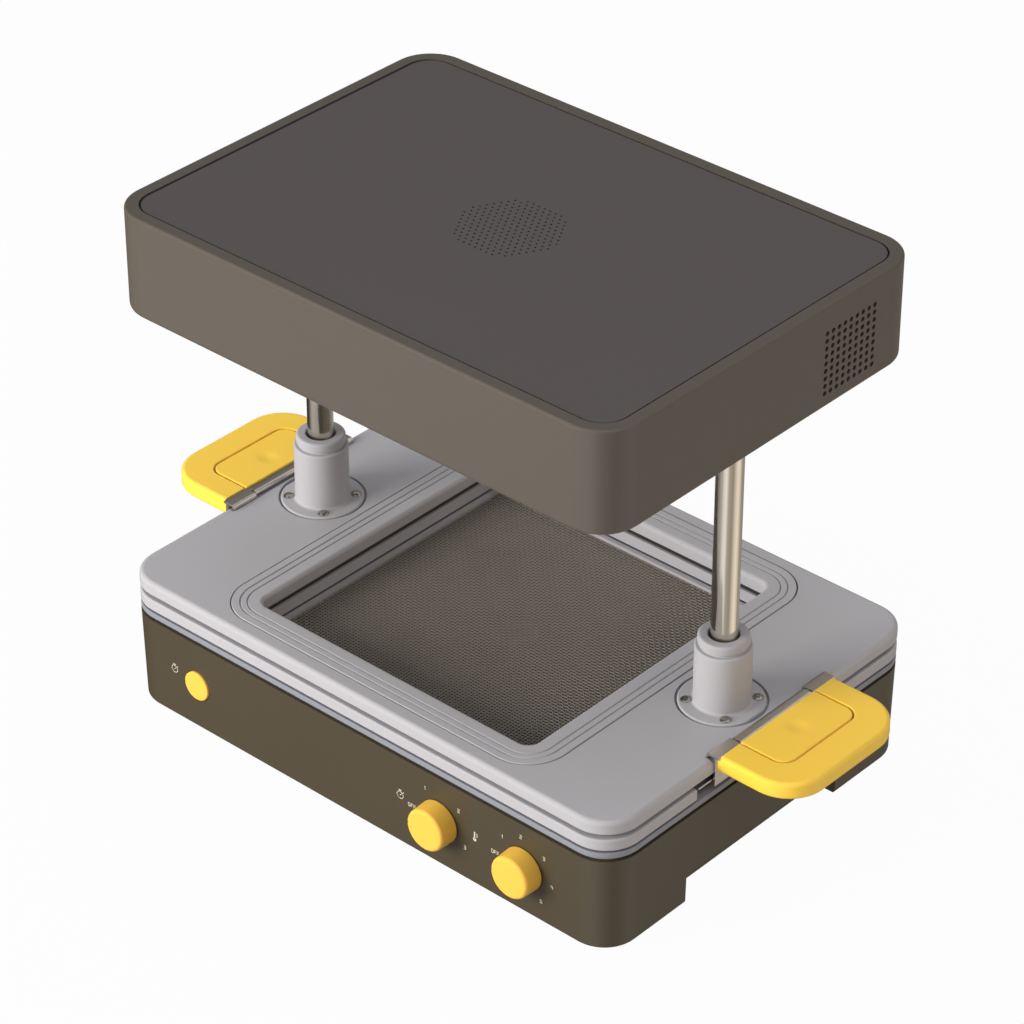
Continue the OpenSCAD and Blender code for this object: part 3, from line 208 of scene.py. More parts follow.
def put_out(tree, given, out, instances):
    """Puts instances out as one smooth mesh in the given finish."""
    real = node(tree, "GeometryNodeRealizeInstances")
    smooth = node(tree, "GeometryNodeSetShadeSmooth")
    faced = node(tree, "GeometryNodeSetMaterial")
    tree.links.new(instances, real.inputs[0])
    tree.links.new(real.outputs[0], smooth.inputs["Geometry"])
    tree.links.new(smooth.outputs[0], faced.inputs["Geometry"])
    tree.links.new(given.outputs["Finish"], faced.inputs["Material"])
    tree.links.new(faced.outputs[0], out.inputs[0])


def make_weave():
    """Geometry tree that lays one set of crimped wires side by side."""
    tree, given, out = open_tree("GeometryNodeTree", "woven_wires", [
        ("Width", "Float", 190 * mm), ("Pitch", "Float", mesh_pitch), ("Wire Diameter", "Float", mesh_wire_d),
        ("Height", "Float", 60 * mm), ("Turned", "Float", 0.0), ("First Side", "Float", 1.0),
        ("Finish", "Material", None)], [("Geometry", "Geometry")])
    width = given.outputs["Width"]
    pitch = given.outputs["Pitch"]
    half = maths(tree, "MULTIPLY", width, 0.5)
    wire_r = maths(tree, "MULTIPLY", given.outputs["Wire Diameter"], 0.5)
    crossings = maths(tree, "ROUND", maths(tree, "DIVIDE", width, pitch))
    line = node(tree, "GeometryNodeCurvePrimitiveLine")
    tree.links.new(triple(tree, maths(tree, "MULTIPLY", half, -1)), line.inputs["Start"])
    tree.links.new(triple(tree, half), line.inputs["End"])
    stops = node(tree, "GeometryNodeResampleCurve")
    tree.links.new(line.outputs[0], stops.inputs["Curve"])
    tree.links.new(maths(tree, "ADD", maths(tree, "MULTIPLY", crossings, 2), 1), stops.inputs["Count"])
    section = node(tree, "GeometryNodeCurvePrimitiveCircle")
    section.inputs["Resolution"].default_value = wire_sides
    tree.links.new(wire_r, section.inputs["Radius"])
    apart = node(tree, "ShaderNodeSeparateXYZ")
    tree.links.new(node(tree, "GeometryNodeInputPosition").outputs[0], apart.inputs[0])
    turns = maths(tree, "DIVIDE", maths(tree, "ADD", apart.outputs["X"], half), pitch)
    wave = maths(tree, "SINE", maths(tree, "MULTIPLY", turns, math.pi))
    swing = maths(tree, "MULTIPLY", maths(tree, "MULTIPLY", wave, given.outputs["First Side"]), wire_r)
    joined = node(tree, "GeometryNodeJoinGeometry")
    for side, first_row, odd_row in ((1, 0.5, 1), (-1, 1.5, 0)):
        crimp = node(tree, "GeometryNodeSetPosition")
        tree.links.new(stops.outputs[0], crimp.inputs["Geometry"])
        tree.links.new(triple(tree, z=maths(tree, "MULTIPLY", swing, side)), crimp.inputs["Offset"])
        wire = node(tree, "GeometryNodeCurveToMesh")
        tree.links.new(crimp.outputs[0], wire.inputs["Curve"])
        tree.links.new(section.outputs[0], wire.inputs["Profile Curve"])
        wire.inputs["Fill Caps"].default_value = True
        start = maths(tree, "SUBTRACT", maths(tree, "MULTIPLY", pitch, first_row), half)
        count = maths(tree, "FLOOR", maths(tree, "MULTIPLY", maths(tree, "ADD", crossings, odd_row), 0.5))
        row = node(tree, "GeometryNodeMeshLine", mode="OFFSET")
        tree.links.new(count, row.inputs["Count"])
        tree.links.new(triple(tree, y=start), row.inputs["Start Location"])
        tree.links.new(triple(tree, y=maths(tree, "MULTIPLY", pitch, 2)), row.inputs["Offset"])
        laid = node(tree, "GeometryNodeInstanceOnPoints")
        tree.links.new(row.outputs[0], laid.inputs["Points"])
        tree.links.new(wire.outputs[0], laid.inputs["Instance"])
        tree.links.new(laid.outputs[0], joined.inputs[0])
    placed = node(tree, "GeometryNodeTransform")
    tree.links.new(joined.outputs[0], placed.inputs["Geometry"])
    tree.links.new(triple(tree, z=given.outputs["Turned"]), placed.inputs["Rotation"])
    tree.links.new(triple(tree, z=given.outputs["Height"]), placed.inputs["Translation"])
    put_out(tree, given, out, placed.outputs[0])
    return tree


def grown(name, tree, **inputs):
    """Runs a geometry tree with the given inputs and keeps its result as a plain mesh."""
    seed = bpy.data.objects.new(name, bpy.data.meshes.new(name))
    bpy.context.scene.collection.objects.link(seed)
    run = seed.modifiers.new("run", "NODES")
    run.node_group = tree
    for item in tree.interface.items_tree:
        if item.in_out == "INPUT" and item.name.replace(" ", "_") in inputs:
            run[item.identifier] = inputs[item.name.replace(" ", "_")]
    bpy.context.view_layer.update()
    seen = seed.evaluated_get(bpy.context.evaluated_depsgraph_get())
    mesh = bpy.data.meshes.new_from_object(seen)
    seed.modifiers.remove(run)
    seed.data = mesh
    mesh.name = name
    return seed


def belongs(piece, body, slot, *stands_for):
    """Fixes a piece to its body and hides the parts of the frame that it stands for. The slot is not used."""
    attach(piece, body)
    if stands_for:
        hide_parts(*stands_for)
    return piece


cloth_low, cloth_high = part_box("vacuum_mesh")
cloth_wires = round((cloth_high.x - cloth_low.x) / mesh_pitch)
weave = make_weave()
wire_finish = coated("mesh_wire", seen_as(156, 150, 142), 0.3, grain=0.4, relief=0.01, mottle=0.3,
                     Metallic=0.2)
for name, turned_by, side in (("mesh_warp", 0.0, 1.0), ("mesh_weft", math.pi / 2, -1.0)):
    wires = grown(name, weave, Width=cloth_wires * mesh_pitch, Pitch=mesh_pitch, Wire_Diameter=mesh_wire_d,
                  Height=cloth_low.z + mesh_wire_d, Turned=turned_by, First_Side=side, Finish=wire_finish)
    belongs(wires, "base", "mesh_wire", "vacuum_mesh")
dress(coated("dark_pan", seen_as(26, 24, 22), 0.6, grain=0.8, mottle=0.15), "vacuum_plenum")
dress(coated("bed_silicone", seen_as(176, 174, 178), 0.6, grain=0.8, relief=0.02), "bed_rim")


# Posts
# Two polished steel tubes on which the trays slide. They are drawn, then ground lengthways. Sockets in
# the base and clamps in the hood hold their ends.

def make_drawn():
    """Fine lines along a drawn or rolled metal part, in its colour, gloss and relief."""
    tree, given, out = open_surface(
        "drawn_lines", ("Line Scale", "Vector", (900, 900, 8)), ("Streaks", "Float", 0.1))
    place = node(tree, "ShaderNodeTexCoord")
    stretch = node(tree, "ShaderNodeVectorMath", operation="MULTIPLY")
    feed(tree, stretch.inputs, place.outputs["Object"], given.outputs["Line Scale"])
    lines = noise(tree, stretch.outputs[0], 1, 3)
    vary(tree, given, out, lines, 0.5, "Streaks", lines)
    return tree


drawn_lines = make_drawn()


def metal(name, colour, roughness, lines=(900, 900, 8), relief=0.003, streaks=0.1):
    """Bare metal with fine lines along the axis that has the small line scale."""
    return finish_from(name, drawn_lines, {
        "Colour": (*colour, 1), "Roughness": roughness, "Line Scale": lines, "Relief": relief * mm,
        "Streaks": streaks}, {"Metallic": 1})


# The posts' colour has a warm tint on top of the steel's own grey: a painted warm reflection of the surround.
post_steel = metal("post_steel", (0.78, 0.72, 0.62), 0.14)
dress(post_steel, "post_left", "post_right")
plate_steel = metal("plate_steel", (0.5, 0.5, 0.5), 0.4, lines=(8, 700, 700), relief=0.006, streaks=0.2)
dress(plate_steel, "post_sockets", "post_clamps", "hood_frame", "hood_standoffs")
screw_steel = metal("screw_steel", (0.42, 0.4, 0.37), 0.24, lines=(500, 500, 500), relief=0.006, streaks=0.3)
dress(screw_steel, "bottom_screws", "board_screws", "control_nuts", "socket_screws", "clamp_screws",
      "hood_screws", "handle_screws", "timer_spindle", "heater_spindle")


# Lower tray
# A pale grey coated plate that slides on the posts and carries the sheet gasket. Steel catch strips
# lie in its relieved sides for the hooks of the latches.

tray_paint = coated("tray_paint", seen_as(174, 174, 180), 0.42, grain=0.4, relief=0.01, mottle=0.03)
dress(tray_paint, "lower_tray", "upper_tray")
bush_plastic = coated("bush_plastic", seen_as(40, 38, 36), 0.5)
dress(bush_plastic, "lower_bushes", "collar_bushes")
dress(coated("gasket_silicone", seen_as(52, 50, 50), 0.7, grain=0.8, relief=0.04), "sheet_gasket")
sheet_steel = metal("sheet_steel", (0.66, 0.62, 0.58), 0.24, lines=(600, 12, 600), relief=0.004,
                    streaks=0.15)
dress(sheet_steel, "catch_plates", "latch_pins")


# Framed insert
# A separate frame let into the upper tray round the window, in the tray's own finish. Its top has two
# fine grooves, its window edge is well rounded, and a thin joint shows all round it.

def with_round_corners(corners, steps=6, closed=True):
    """Points of an outline through (x, y, radius) corners, with an arc at each corner."""
    points = []
    for i, (x, y, radius) in enumerate(corners):
        here = Vector((x, y))
        if radius == 0 or (not closed and i in (0, len(corners) - 1)):
            points.append(here)
            continue
        back = (Vector(corners[i - 1][:2]) - here).normalized()
        ahead = (Vector(corners[(i + 1) % len(corners)][:2]) - here).normalized()
        half = back.angle(ahead) / 2
        centre = here + (back + ahead).normalized() * radius / math.sin(half)
        first = here + back * radius / math.tan(half) - centre
        last = here + ahead * radius / math.tan(half) - centre
        start = math.atan2(first.y, first.x)
        sweep = (math.atan2(last.y, last.x) - start + math.pi) % math.tau - math.pi
        for k in range(steps + 1):
            angle = start + sweep * k / steps
            points.append(centre + radius * Vector((math.cos(angle), math.sin(angle))))
    return points


def piece_from(name, points, faces, material, crease=32):
    """Closed, outward-facing, smoothly shaded object from points in millimetres."""
    mesh = bpy.data.meshes.new(name)
    mesh.from_pydata([Vector(p) * mm for p in points], [], faces)
    shape = bmesh.new()
    shape.from_mesh(mesh)
    bmesh.ops.remove_doubles(shape, verts=shape.verts, dist=0.002 * mm)
    bmesh.ops.dissolve_degenerate(shape, edges=shape.edges, dist=0.001 * mm)
    bmesh.ops.recalc_face_normals(shape, faces=shape.faces)
    shape.to_mesh(mesh)
    shape.free()
    mesh.materials.append(material)
    mesh.shade_smooth()
    mesh.set_sharp_from_angle(angle=math.radians(crease))
    piece = bpy.data.objects.new(name, mesh)
    bpy.context.scene.collection.objects.link(piece)
    even = piece.modifiers.new("even_shading", "WEIGHTED_NORMAL")
    even.keep_sharp = True
    return piece


def skin(rings, closed=True, ends=False):
    """Faces between rings of equally many points, as one flat list of points and a list of faces."""
    count = len(rings[0])
    points = [p for ring in rings for p in ring]
    faces = []
    for i in range(len(rings) if closed else len(rings) - 1):
        a = i * count
        b = (i + 1) % len(rings) * count
        for k in range(count):
            n = (k + 1) % count
            faces.append((a + k, a + n, b + n, b + k))
    if ends:
        faces.append(tuple(range(count)))
        faces.append(tuple(range(len(points) - count, len(points))))
    return points, faces


def framed(name, width, corner, profile, material, steps=20):
    """Sweeps a closed (distance from corner centre, height) profile round a rounded square."""
    rings = []
    for turn, (sx, sy) in enumerate(((1, 1), (-1, 1), (-1, -1), (1, -1))):
        centre = Vector((sx, sy)) * (width / 2 - corner)
        for k in range(steps + 1):
            angle = math.radians(90 * (turn + k / steps))
            out = Vector((math.cos(angle), math.sin(angle)))
            rings.append([(*(centre + out * far), high) for far, high in profile])
    return piece_from(name, *skin(rings), material)


insert_low, insert_high = (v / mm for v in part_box("upper_insert"))
insert_w = insert_high.x - insert_low.x
insert_r = 25.5
insert_edge = insert_r - 0.6
insert_top = insert_high.z
groove_w = 1.1
groove_floor_w = 0.2
groove_floor = insert_top - 0.9
window_r = 7
step_r = insert_r - 4
step_top = insert_top - 3.9
insert_profile = [(window_r, insert_low.z, 0.6), (window_r, insert_top, 2.6)]
for inwards in (10, 6):
    middle = insert_r - inwards + groove_w / 2
    insert_profile += [
        (middle - groove_w / 2, insert_top, 0.2), (middle - groove_floor_w / 2, groove_floor, 0.1),
        (middle + groove_floor_w / 2, groove_floor, 0.1), (middle + groove_w / 2, insert_top, 0.2)]
insert_profile += [(insert_edge, insert_top, 0.4), (insert_edge, step_top, 0.2), (step_r, step_top, 0),
                   (step_r, insert_low.z, 0.4)]
insert_profile = with_round_corners(insert_profile, 5)
belongs(framed("window_insert", insert_w, insert_r, insert_profile, tray_paint),
        "upper_tray", "tray_paint", "upper_insert")


# Collars
# Two turned collars that guide the upper tray on the posts. Each has a round flange, cut flat beside the
# bracket, a softly rounded foot and a loose ring on top above a groove. Four screws hold each flange.

collar_low, collar_high = (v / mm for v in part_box("collar_right"))
post_low, post_high = (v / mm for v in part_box("post_right"))
post_x = (post_low.x + post_high.x) / 2
collar_r = 15.7
neck_r = collar_r - 2.6
ring_r = collar_r - 1.5
mouth_r = 8.4
flange_r = 24
flange_flat = 23
flat_from_r = collar_r + 2
flange_top = 85.5
flange_low = 82.9
spigot_r = 12.4
bush_seat_r = 10.57
bush_h = 10
ring_h = 5
groove_h = 1.8
ring_top = collar_high.z
body_top = ring_top - ring_h - groove_h
collar_steps = 96


def turned(name, profile, side, material):
    """Turns a closed (radius, height) profile round a post's axis and cuts its flange flat at the side."""
    rings = []
    for k in range(collar_steps):
        angle = math.tau * k / collar_steps
        out = Vector((math.cos(angle), math.sin(angle)))
        squeeze = 1
        if out.x * side * flange_r > flange_flat:
            squeeze = (flange_flat / (out.x * side) - flat_from_r) / (flange_r - flat_from_r)
        ring = []
        for radius, high in profile:
            reach = radius if radius <= flat_from_r else flat_from_r + (radius - flat_from_r) * squeeze
            ring.append((side * post_x + out.x * reach, out.y * reach, high))
        rings.append(ring)
    return piece_from(name, *skin(rings), material)


collar_profile = with_round_corners([
    (bush_seat_r, collar_low.z, 0), (spigot_r, collar_low.z, 0.3), (spigot_r, flange_low, 0),
    (flange_r, flange_low, 0.3), (flange_r, flange_top, 1.1), (collar_r, flange_top, 1.6),
    (collar_r, body_top, 1.1), (neck_r, body_top, 0.4), (neck_r, body_top + groove_h, 0.2),
    (ring_r, body_top + groove_h, 0.4), (ring_r, ring_top, 1.6), (mouth_r, ring_top, 0.9),
    (mouth_r, body_top, 0), (bush_seat_r, body_top, 0), (bush_seat_r, body_top - bush_h, 0),
    (mouth_r, body_top - bush_h, 0), (mouth_r, collar_low.z + bush_h, 0),
    (bush_seat_r, collar_low.z + bush_h, 0)], 5)
for side, hand in ((-1, "left"), (1, "right")):
    belongs(turned("guide_collar_" + hand, collar_profile, side, tray_paint),
            "upper_tray", "tray_paint", "collar_" + hand)


# Screws
# Small plated steel cross-head screws with a low domed head. Four go through each collar's flange into
# the upper tray.

flange_screw_r = 19.3
head_segments = 28
head_rings = 14
slot_share = 1.25
slot_lift = 0.95


def make_cross_screws():
    """Geometry tree that sets a domed cross-head screw on each place."""
    tree, given, out = open_tree("GeometryNodeTree", "cross_head_screws", [
        ("Places", "Object", None), ("Head Radius", "Float", 3.1 * mm), ("Head Height", "Float", 1.7 * mm),
        ("Slot Width", "Float", 0.9 * mm), ("Turn", "Float", 0.0), ("Finish", "Material", None)],
        [("Geometry", "Geometry")])
    radius = given.outputs["Head Radius"]
    height = given.outputs["Head Height"]
    slot_w = given.outputs["Slot Width"]
    ball = node(tree, "GeometryNodeMeshUVSphere")
    feed(tree, [ball.inputs[label] for label in ("Segments", "Rings", "Radius")],
         head_segments, head_rings, radius)
    dome = node(tree, "GeometryNodeTransform")
    tree.links.new(ball.outputs[0], dome.inputs["Geometry"])
    tree.links.new(triple(tree, 1.0, 1.0, maths(tree, "DIVIDE", height, radius)), dome.inputs["Scale"])
    cross = node(tree, "GeometryNodeJoinGeometry")
    length = maths(tree, "MULTIPLY", radius, slot_share)
    for size in ((length, slot_w, height), (slot_w, length, height)):
        cutter = node(tree, "GeometryNodeMeshCube")
        tree.links.new(triple(tree, *size), cutter.inputs["Size"])
        up = node(tree, "GeometryNodeTransform")
        tree.links.new(cutter.outputs[0], up.inputs["Geometry"])
        tree.links.new(triple(tree, z=maths(tree, "MULTIPLY", height, slot_lift)), up.inputs["Translation"])
        tree.links.new(up.outputs[0], cross.inputs[0])
    cut = node(tree, "GeometryNodeMeshBoolean", operation="DIFFERENCE")
    tree.links.new(dome.outputs[0], cut.inputs["Mesh 1"])
    tree.links.new(cross.outputs[0], cut.inputs["Mesh 2"])
    places = node(tree, "GeometryNodeObjectInfo")
    tree.links.new(given.outputs["Places"], places.inputs["Object"])
    on_points = node(tree, "GeometryNodeInstanceOnPoints")
    tree.links.new(places.outputs["Geometry"], on_points.inputs["Points"])
    tree.links.new(cut.outputs[0], on_points.inputs["Instance"])
    turn = maths(tree, "MULTIPLY", node(tree, "GeometryNodeInputIndex").outputs[0], given.outputs["Turn"])
    tree.links.new(triple(tree, z=turn), on_points.inputs["Rotation"])
    put_out(tree, given, out, on_points.outputs[0])
    return tree


screw_places = []
for side in (-1, 1):
    for quarter in range(4):
        angle = math.radians(45 + 90 * quarter)
        screw_places.append(Vector((side * post_x + flange_screw_r * math.cos(angle),
                                    flange_screw_r * math.sin(angle), flange_top)) * mm)
screw_mesh = bpy.data.meshes.new("places")
screw_mesh.from_pydata(screw_places, [], [])
screw_marks = bpy.data.objects.new("places", screw_mesh)
bpy.context.scene.collection.objects.link(screw_marks)
belongs(grown("flange_screws", make_cross_screws(), Places=screw_marks, Head_Radius=3.1 * mm,
              Head_Height=1.6 * mm, Slot_Width=1.0 * mm, Turn=math.radians(37), Finish=screw_steel),
        "upper_tray", "screw_steel", "collar_screws")
bpy.data.objects.remove(screw_marks)


# Brackets
# A bent sheet-steel bracket on each side of the upper tray. Its two hollow end pieces hold the handle
# and the ears of the latch pin; a plain bar joins them along the tray's side.

handle_low, handle_high = (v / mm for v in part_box("handle_right"))
lever_low, lever_high = (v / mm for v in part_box("lever_right"))
hook_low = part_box("hook_right")[0] / mm
bracket_low, bracket_high = (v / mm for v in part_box("bracket_right"))
tray_low, tray_high = (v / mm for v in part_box("upper_tray"))
side_x = tray_high.x
handle_y = (handle_low.y + handle_high.y) / 2
lever_half = (lever_high.y - lever_low.y) / 2
sheet_t = 1.2


def on_side(side, points):
    """Points given for the right side about the handle's middle, put on either side."""
    return [(side * x, y + handle_y, z) for x, y, z in points]


def bar(section, y0, y1, side, steps=4):
    """Straight length of bent sheet: a closed (x, height, radius) section, drawn from y0 to y1."""
    outline = with_round_corners(section, steps)
    return skin([on_side(side, [(x, y, z) for x, z in outline]) for y in (y0, y1)], closed=False, ends=True)


def gathered(*solids):
    """One list of points and faces out of several."""
    points, faces = [], []
    for some_points, some_faces in solids:
        faces += [tuple(i + len(points) for i in face) for face in some_faces]
        points += some_points
    return points, faces


def soft_edges(piece, width, segments=2, limit=50):
    """Breaks the sharp edges of a piece."""
    broken = piece.modifiers.new("broken_edges", "BEVEL")
    broken.width = width * mm
    broken.segments = segments
    broken.limit_method = "ANGLE"
    broken.angle_limit = math.radians(limit)
    piece.modifiers.move(len(piece.modifiers) - 1, 0)
    return piece


inner_x = bracket_low.x
outer_x = bracket_high.x
steel_top = bracket_high.z
steel_under = steel_top - sheet_t
flange_x = side_x + 1.5
ledge_z = 84.0
bar_top = ledge_z - 0.75
ear_x = inner_x + 0.2
ear_top = steel_top - 0.2
end_section = [
    (inner_x, ledge_z, 0.2), (inner_x, steel_top, 1.7), (outer_x, steel_top, 0.5),
    (outer_x, steel_under, 0.3), (flange_x, steel_under, 0.3), (flange_x, bracket_low.z, 0.4),
    (side_x, bracket_low.z, 0.4), (side_x, steel_under, 0.5), (inner_x + sheet_t, steel_under, 0.6),
    (inner_x + sheet_t, ledge_z, 0.2)]
bar_section = [(side_x, tray_low.z, 0.3), (flange_x, tray_low.z, 0.3), (flange_x, bar_top, 0.3),
               (side_x, bar_top, 0.3)]
ear_section = [(ear_x, ledge_z, 0.2), (ear_x, ear_top, 1.4), (flange_x, ear_top, 0.4),
               (flange_x, ledge_z, 0.2)]
plate_end = (bracket_high.y - bracket_low.y) / 2
for side, hand in ((-1, "left"), (1, "right")):
    solids = [bar(bar_section, -lever_half, lever_half, side)]
    for end in (-1, 1):
        solids.append(bar(end_section, end * lever_half, end * plate_end, side))
        solids.append(bar(ear_section, end * (lever_half + 0.1), end * (lever_half + sheet_t), side))
    bracket = piece_from("handle_bracket_" + hand, *gathered(*solids), sheet_steel)
    belongs(soft_edges(bracket, 0.25), "upper_tray", "bright_steel", "bracket_" + hand)


# Handles
# A thick moulded loop round the latch lever on each side, with soft edges. It is yellow ABS and is
# screwed to the bracket from the tray's side.

yellow_plastic = coated("yellow_plastic", seen_as(255, 212, 76), 0.36, grain=0.6, relief=0.006, mottle=0.03)
handle_edge = 2.4
slot_edge = 0.6
handle_r = 24
groove = 1.2
lever_r = 8
handle_half = (handle_high.y - handle_low.y) / 2
slot_half = lever_half + groove
slot_x = lever_high.x + groove
sharp_r = 0.05
top_start_x = outer_x + 0.2
step_z = steel_under - 0.2
step_edge = 0.8


def lofted(corner_rings, steps):
    """Rings of 3-D points through (x, y, radius, height) corners, all with equally many points."""
    rings = []
    for corners in corner_rings:
        ring = []
        for i, corner in enumerate(corners):
            before = (*corners[i - 1][:2], 0)
            after = (*corners[(i + 1) % len(corners)][:2], 0)
            arc = with_round_corners([before, corner[:3], after], steps, closed=False)[1:-1]
            ring += [(*p, corner[3]) for p in arc]
        rings.append(ring)
    return rings


def handle_ring(start_x, outer_in, slot_in, z_outer, z_slot):
    """One level of the handle: its outer contour and the slot that the lever lies in."""
    far = handle_high.x - outer_in
    wide = handle_half - outer_in
    slot_far = slot_x + slot_in
    slot_wide = slot_half + slot_in
    outer_r = handle_r - outer_in
    slot_r = lever_r + groove + slot_in
    return [(start_x, -wide, sharp_r, z_outer), (far, -wide, outer_r, z_outer),
            (far, wide, outer_r, z_outer), (start_x, wide, sharp_r, z_outer),
            (start_x, slot_wide, sharp_r, z_slot), (slot_far, slot_wide, slot_r, z_slot),
            (slot_far, -slot_wide, slot_r, z_slot), (start_x, -slot_wide, sharp_r, z_slot)]


def rounding(steps):
    """Share of an edge radius to go in and to stay below, from the side to the flat."""
    return [(1 - math.cos(math.radians(90 * k / steps)), 1 - math.sin(math.radians(90 * k / steps)))
            for k in range(steps + 1)]


handle_rings = []
for inwards, below in reversed(rounding(6)):
    handle_rings.append(handle_ring(flange_x, handle_edge * inwards, slot_edge * inwards,
                                    handle_low.z + handle_edge * below, handle_low.z + slot_edge * below))
for start_x in (flange_x, top_start_x):
    handle_rings.append(handle_ring(start_x, 0, 0, step_z - step_edge, step_z))
for inwards, below in rounding(6):
    handle_rings.append(handle_ring(top_start_x, handle_edge * inwards, slot_edge * inwards,
                                    handle_high.z - handle_edge * below, handle_high.z - slot_edge * below))
handle_points, handle_faces = skin(lofted(handle_rings, 14), closed=False, ends=True)
for side, hand in ((-1, "left"), (1, "right")):
    handle = piece_from("side_handle_" + hand, on_side(side, handle_points), handle_faces, yellow_plastic)
    handle.visible_glossy = False
    belongs(handle, "upper_tray", "yellow_plastic", "handle_" + hand)


# Latch levers
# A flat yellow lever in each handle's slot, with broken edges and a shallow thumb dish in its top. It
# is moulded and pressed on the studs of the hook plate.

lever_edge = 0.6
dish_r = 7.8
dish_depth = 0.5
dish_steps = 8


def lever_ring(inwards, z):
    """One level of the lever's outline."""
    far = lever_high.x - inwards
    wide = lever_half - inwards
    near = lever_low.x + inwards
    return [(near, -wide, 0.4, z), (far, -wide, lever_r - inwards, z), (far, wide, lever_r - inwards, z),
            (near, wide, 0.4, z)]


lever_rings = [lever_ring(lever_edge * i, lever_low.z + lever_edge * b) for i, b in reversed(rounding(4))]
lever_rings += [lever_ring(lever_edge * i, lever_high.z - lever_edge * b) for i, b in rounding(4)]
lever_loops = lofted(lever_rings, 18)
dish_x = side_x + (lever_high.x - side_x) / 2
dish_loops = []
rim = lever_loops[-1]
for k in range(dish_steps + 1):
    share = 1 - k / dish_steps
    reach = dish_r * share
    high = lever_high.z - dish_depth * (1 + math.cos(math.pi * share)) / 2
    turns = [math.tau * (i + 0.5) / len(rim) - math.pi for i in range(len(rim))]
    dish_loops.append([(dish_x + reach * math.cos(a), reach * math.sin(a), high) for a in turns])
lever_points, lever_faces = skin(lever_loops + dish_loops, closed=False, ends=False)
lever_faces.append(tuple(range(len(lever_loops[0]))))
for side, hand in ((-1, "left"), (1, "right")):
    lever = piece_from("latch_lever_" + hand, on_side(side, lever_points), lever_faces, yellow_plastic, 50)
    lever.visible_glossy = False
    belongs(lever, "latch_" + hand, "yellow_plastic", "lever_" + hand)


# Hooks
# A rolled sheet-steel plate under each lever: a barrel round the hinge pin, a strap bent down beside
# the lever, a plate under it and two legs with claws that catch the lower tray. The studs that hold the
# lever are inside it and aren't drawn.

barrel_r = 1.9
hinge_x = side_x - 1.9
hinge_z = steel_top - barrel_r
leg_x = flange_x + 0.3
leg_out = leg_x + sheet_t
barrel_half = lever_half - 1
plate_top = lever_low.z
plate_low = plate_top - sheet_t
plate_start = leg_x + 0.2
plate_end_x = side_x + 18
leg_y = 20
leg_half = 7
claw_x = side_x - 3.3
foot_z = hook_low.z
catch_x = side_x - 0.3
catch_top = 73.5
catch_gap = 0.8
catch_low = catch_top - sheet_t - catch_gap
claw_rise = math.tan(math.radians(50))
barrel_steps = 24
barrel_section = []
for k in range(barrel_steps + 1):
    angle = math.radians(-70 - 200 * k / barrel_steps)
    barrel_section.append((hinge_x + barrel_r * math.cos(angle), hinge_z + barrel_r * math.sin(angle), 0))
barrel_section += [(leg_out, steel_top, 1.5), (leg_out, plate_low, 0.2), (leg_x, plate_low, 0.2),
                   (leg_x, steel_under, 0.4)]
plate_section = [(plate_start, plate_low, 0.2), (plate_end_x, plate_low, 0.3), (plate_end_x, plate_top, 0.3),
                 (plate_start, plate_top, 0.2)]
leg_section = [(claw_x, foot_z, 0.4), (leg_out, foot_z, 0.8), (leg_out, plate_top, 0), (leg_x, plate_top, 0),
               (leg_x, catch_low + (leg_x - catch_x) * claw_rise, 0.3),
               (claw_x, catch_low - (catch_x - claw_x) * claw_rise, 0.3)]
for side, hand in ((-1, "left"), (1, "right")):
    solids = [bar(barrel_section, -barrel_half, barrel_half, side), bar(plate_section, -leg_y, leg_y, side)]
    for end in (-1, 1):
        solids.append(bar(leg_section, end * leg_y - leg_half, end * leg_y + leg_half, side))
    hook = piece_from("latch_hook_" + hand, *gathered(*solids), sheet_steel)
    belongs(soft_edges(hook, 0.15), "latch_" + hand, "bright_steel", "hook_" + hand)


# Knobs
# Two moulded knobs on the control spindles: a plain round body, slightly tapered, with a rounded front
# rim and a small notch in the rim as its index. A recess at the back clears the nut. Knobs and start
# button are a deeper yellow than the handles.

knob_plastic = coated("knob_plastic", seen_as(240, 190, 76), 0.36, grain=0.6, relief=0.006, mottle=0.03)
control_z = 31
knob_low, knob_high = (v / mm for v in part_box("timer_knob"))
knob_r = (knob_high.x - knob_low.x) / 2
knob_l = knob_high.y - knob_low.y
cap_inside = knob_l - 2.4
recess_r = 8.4
recess_depth = 4
spindle_r = 3.02
notch_angle = math.pi
notch_half = 0.07
notch_depth = 0.9
notch_reach = 2.6
notch_fade = 1.2


def knob_angles():
    """Angles round the knob, close together at the index notch."""
    even = [math.tau * k / 96 for k in range(96)]
    fine = [notch_angle + notch_half * k / 6 for k in range(-9, 10)]
    return sorted([a for a in even if abs(a - notch_angle) > 1.6 * notch_half] + fine)


def near_edge(distance):
    """1 where the notch is at its full depth and 0 beyond its reach of an edge."""
    return max(0.0, min(1.0, (distance + notch_reach) / notch_fade))


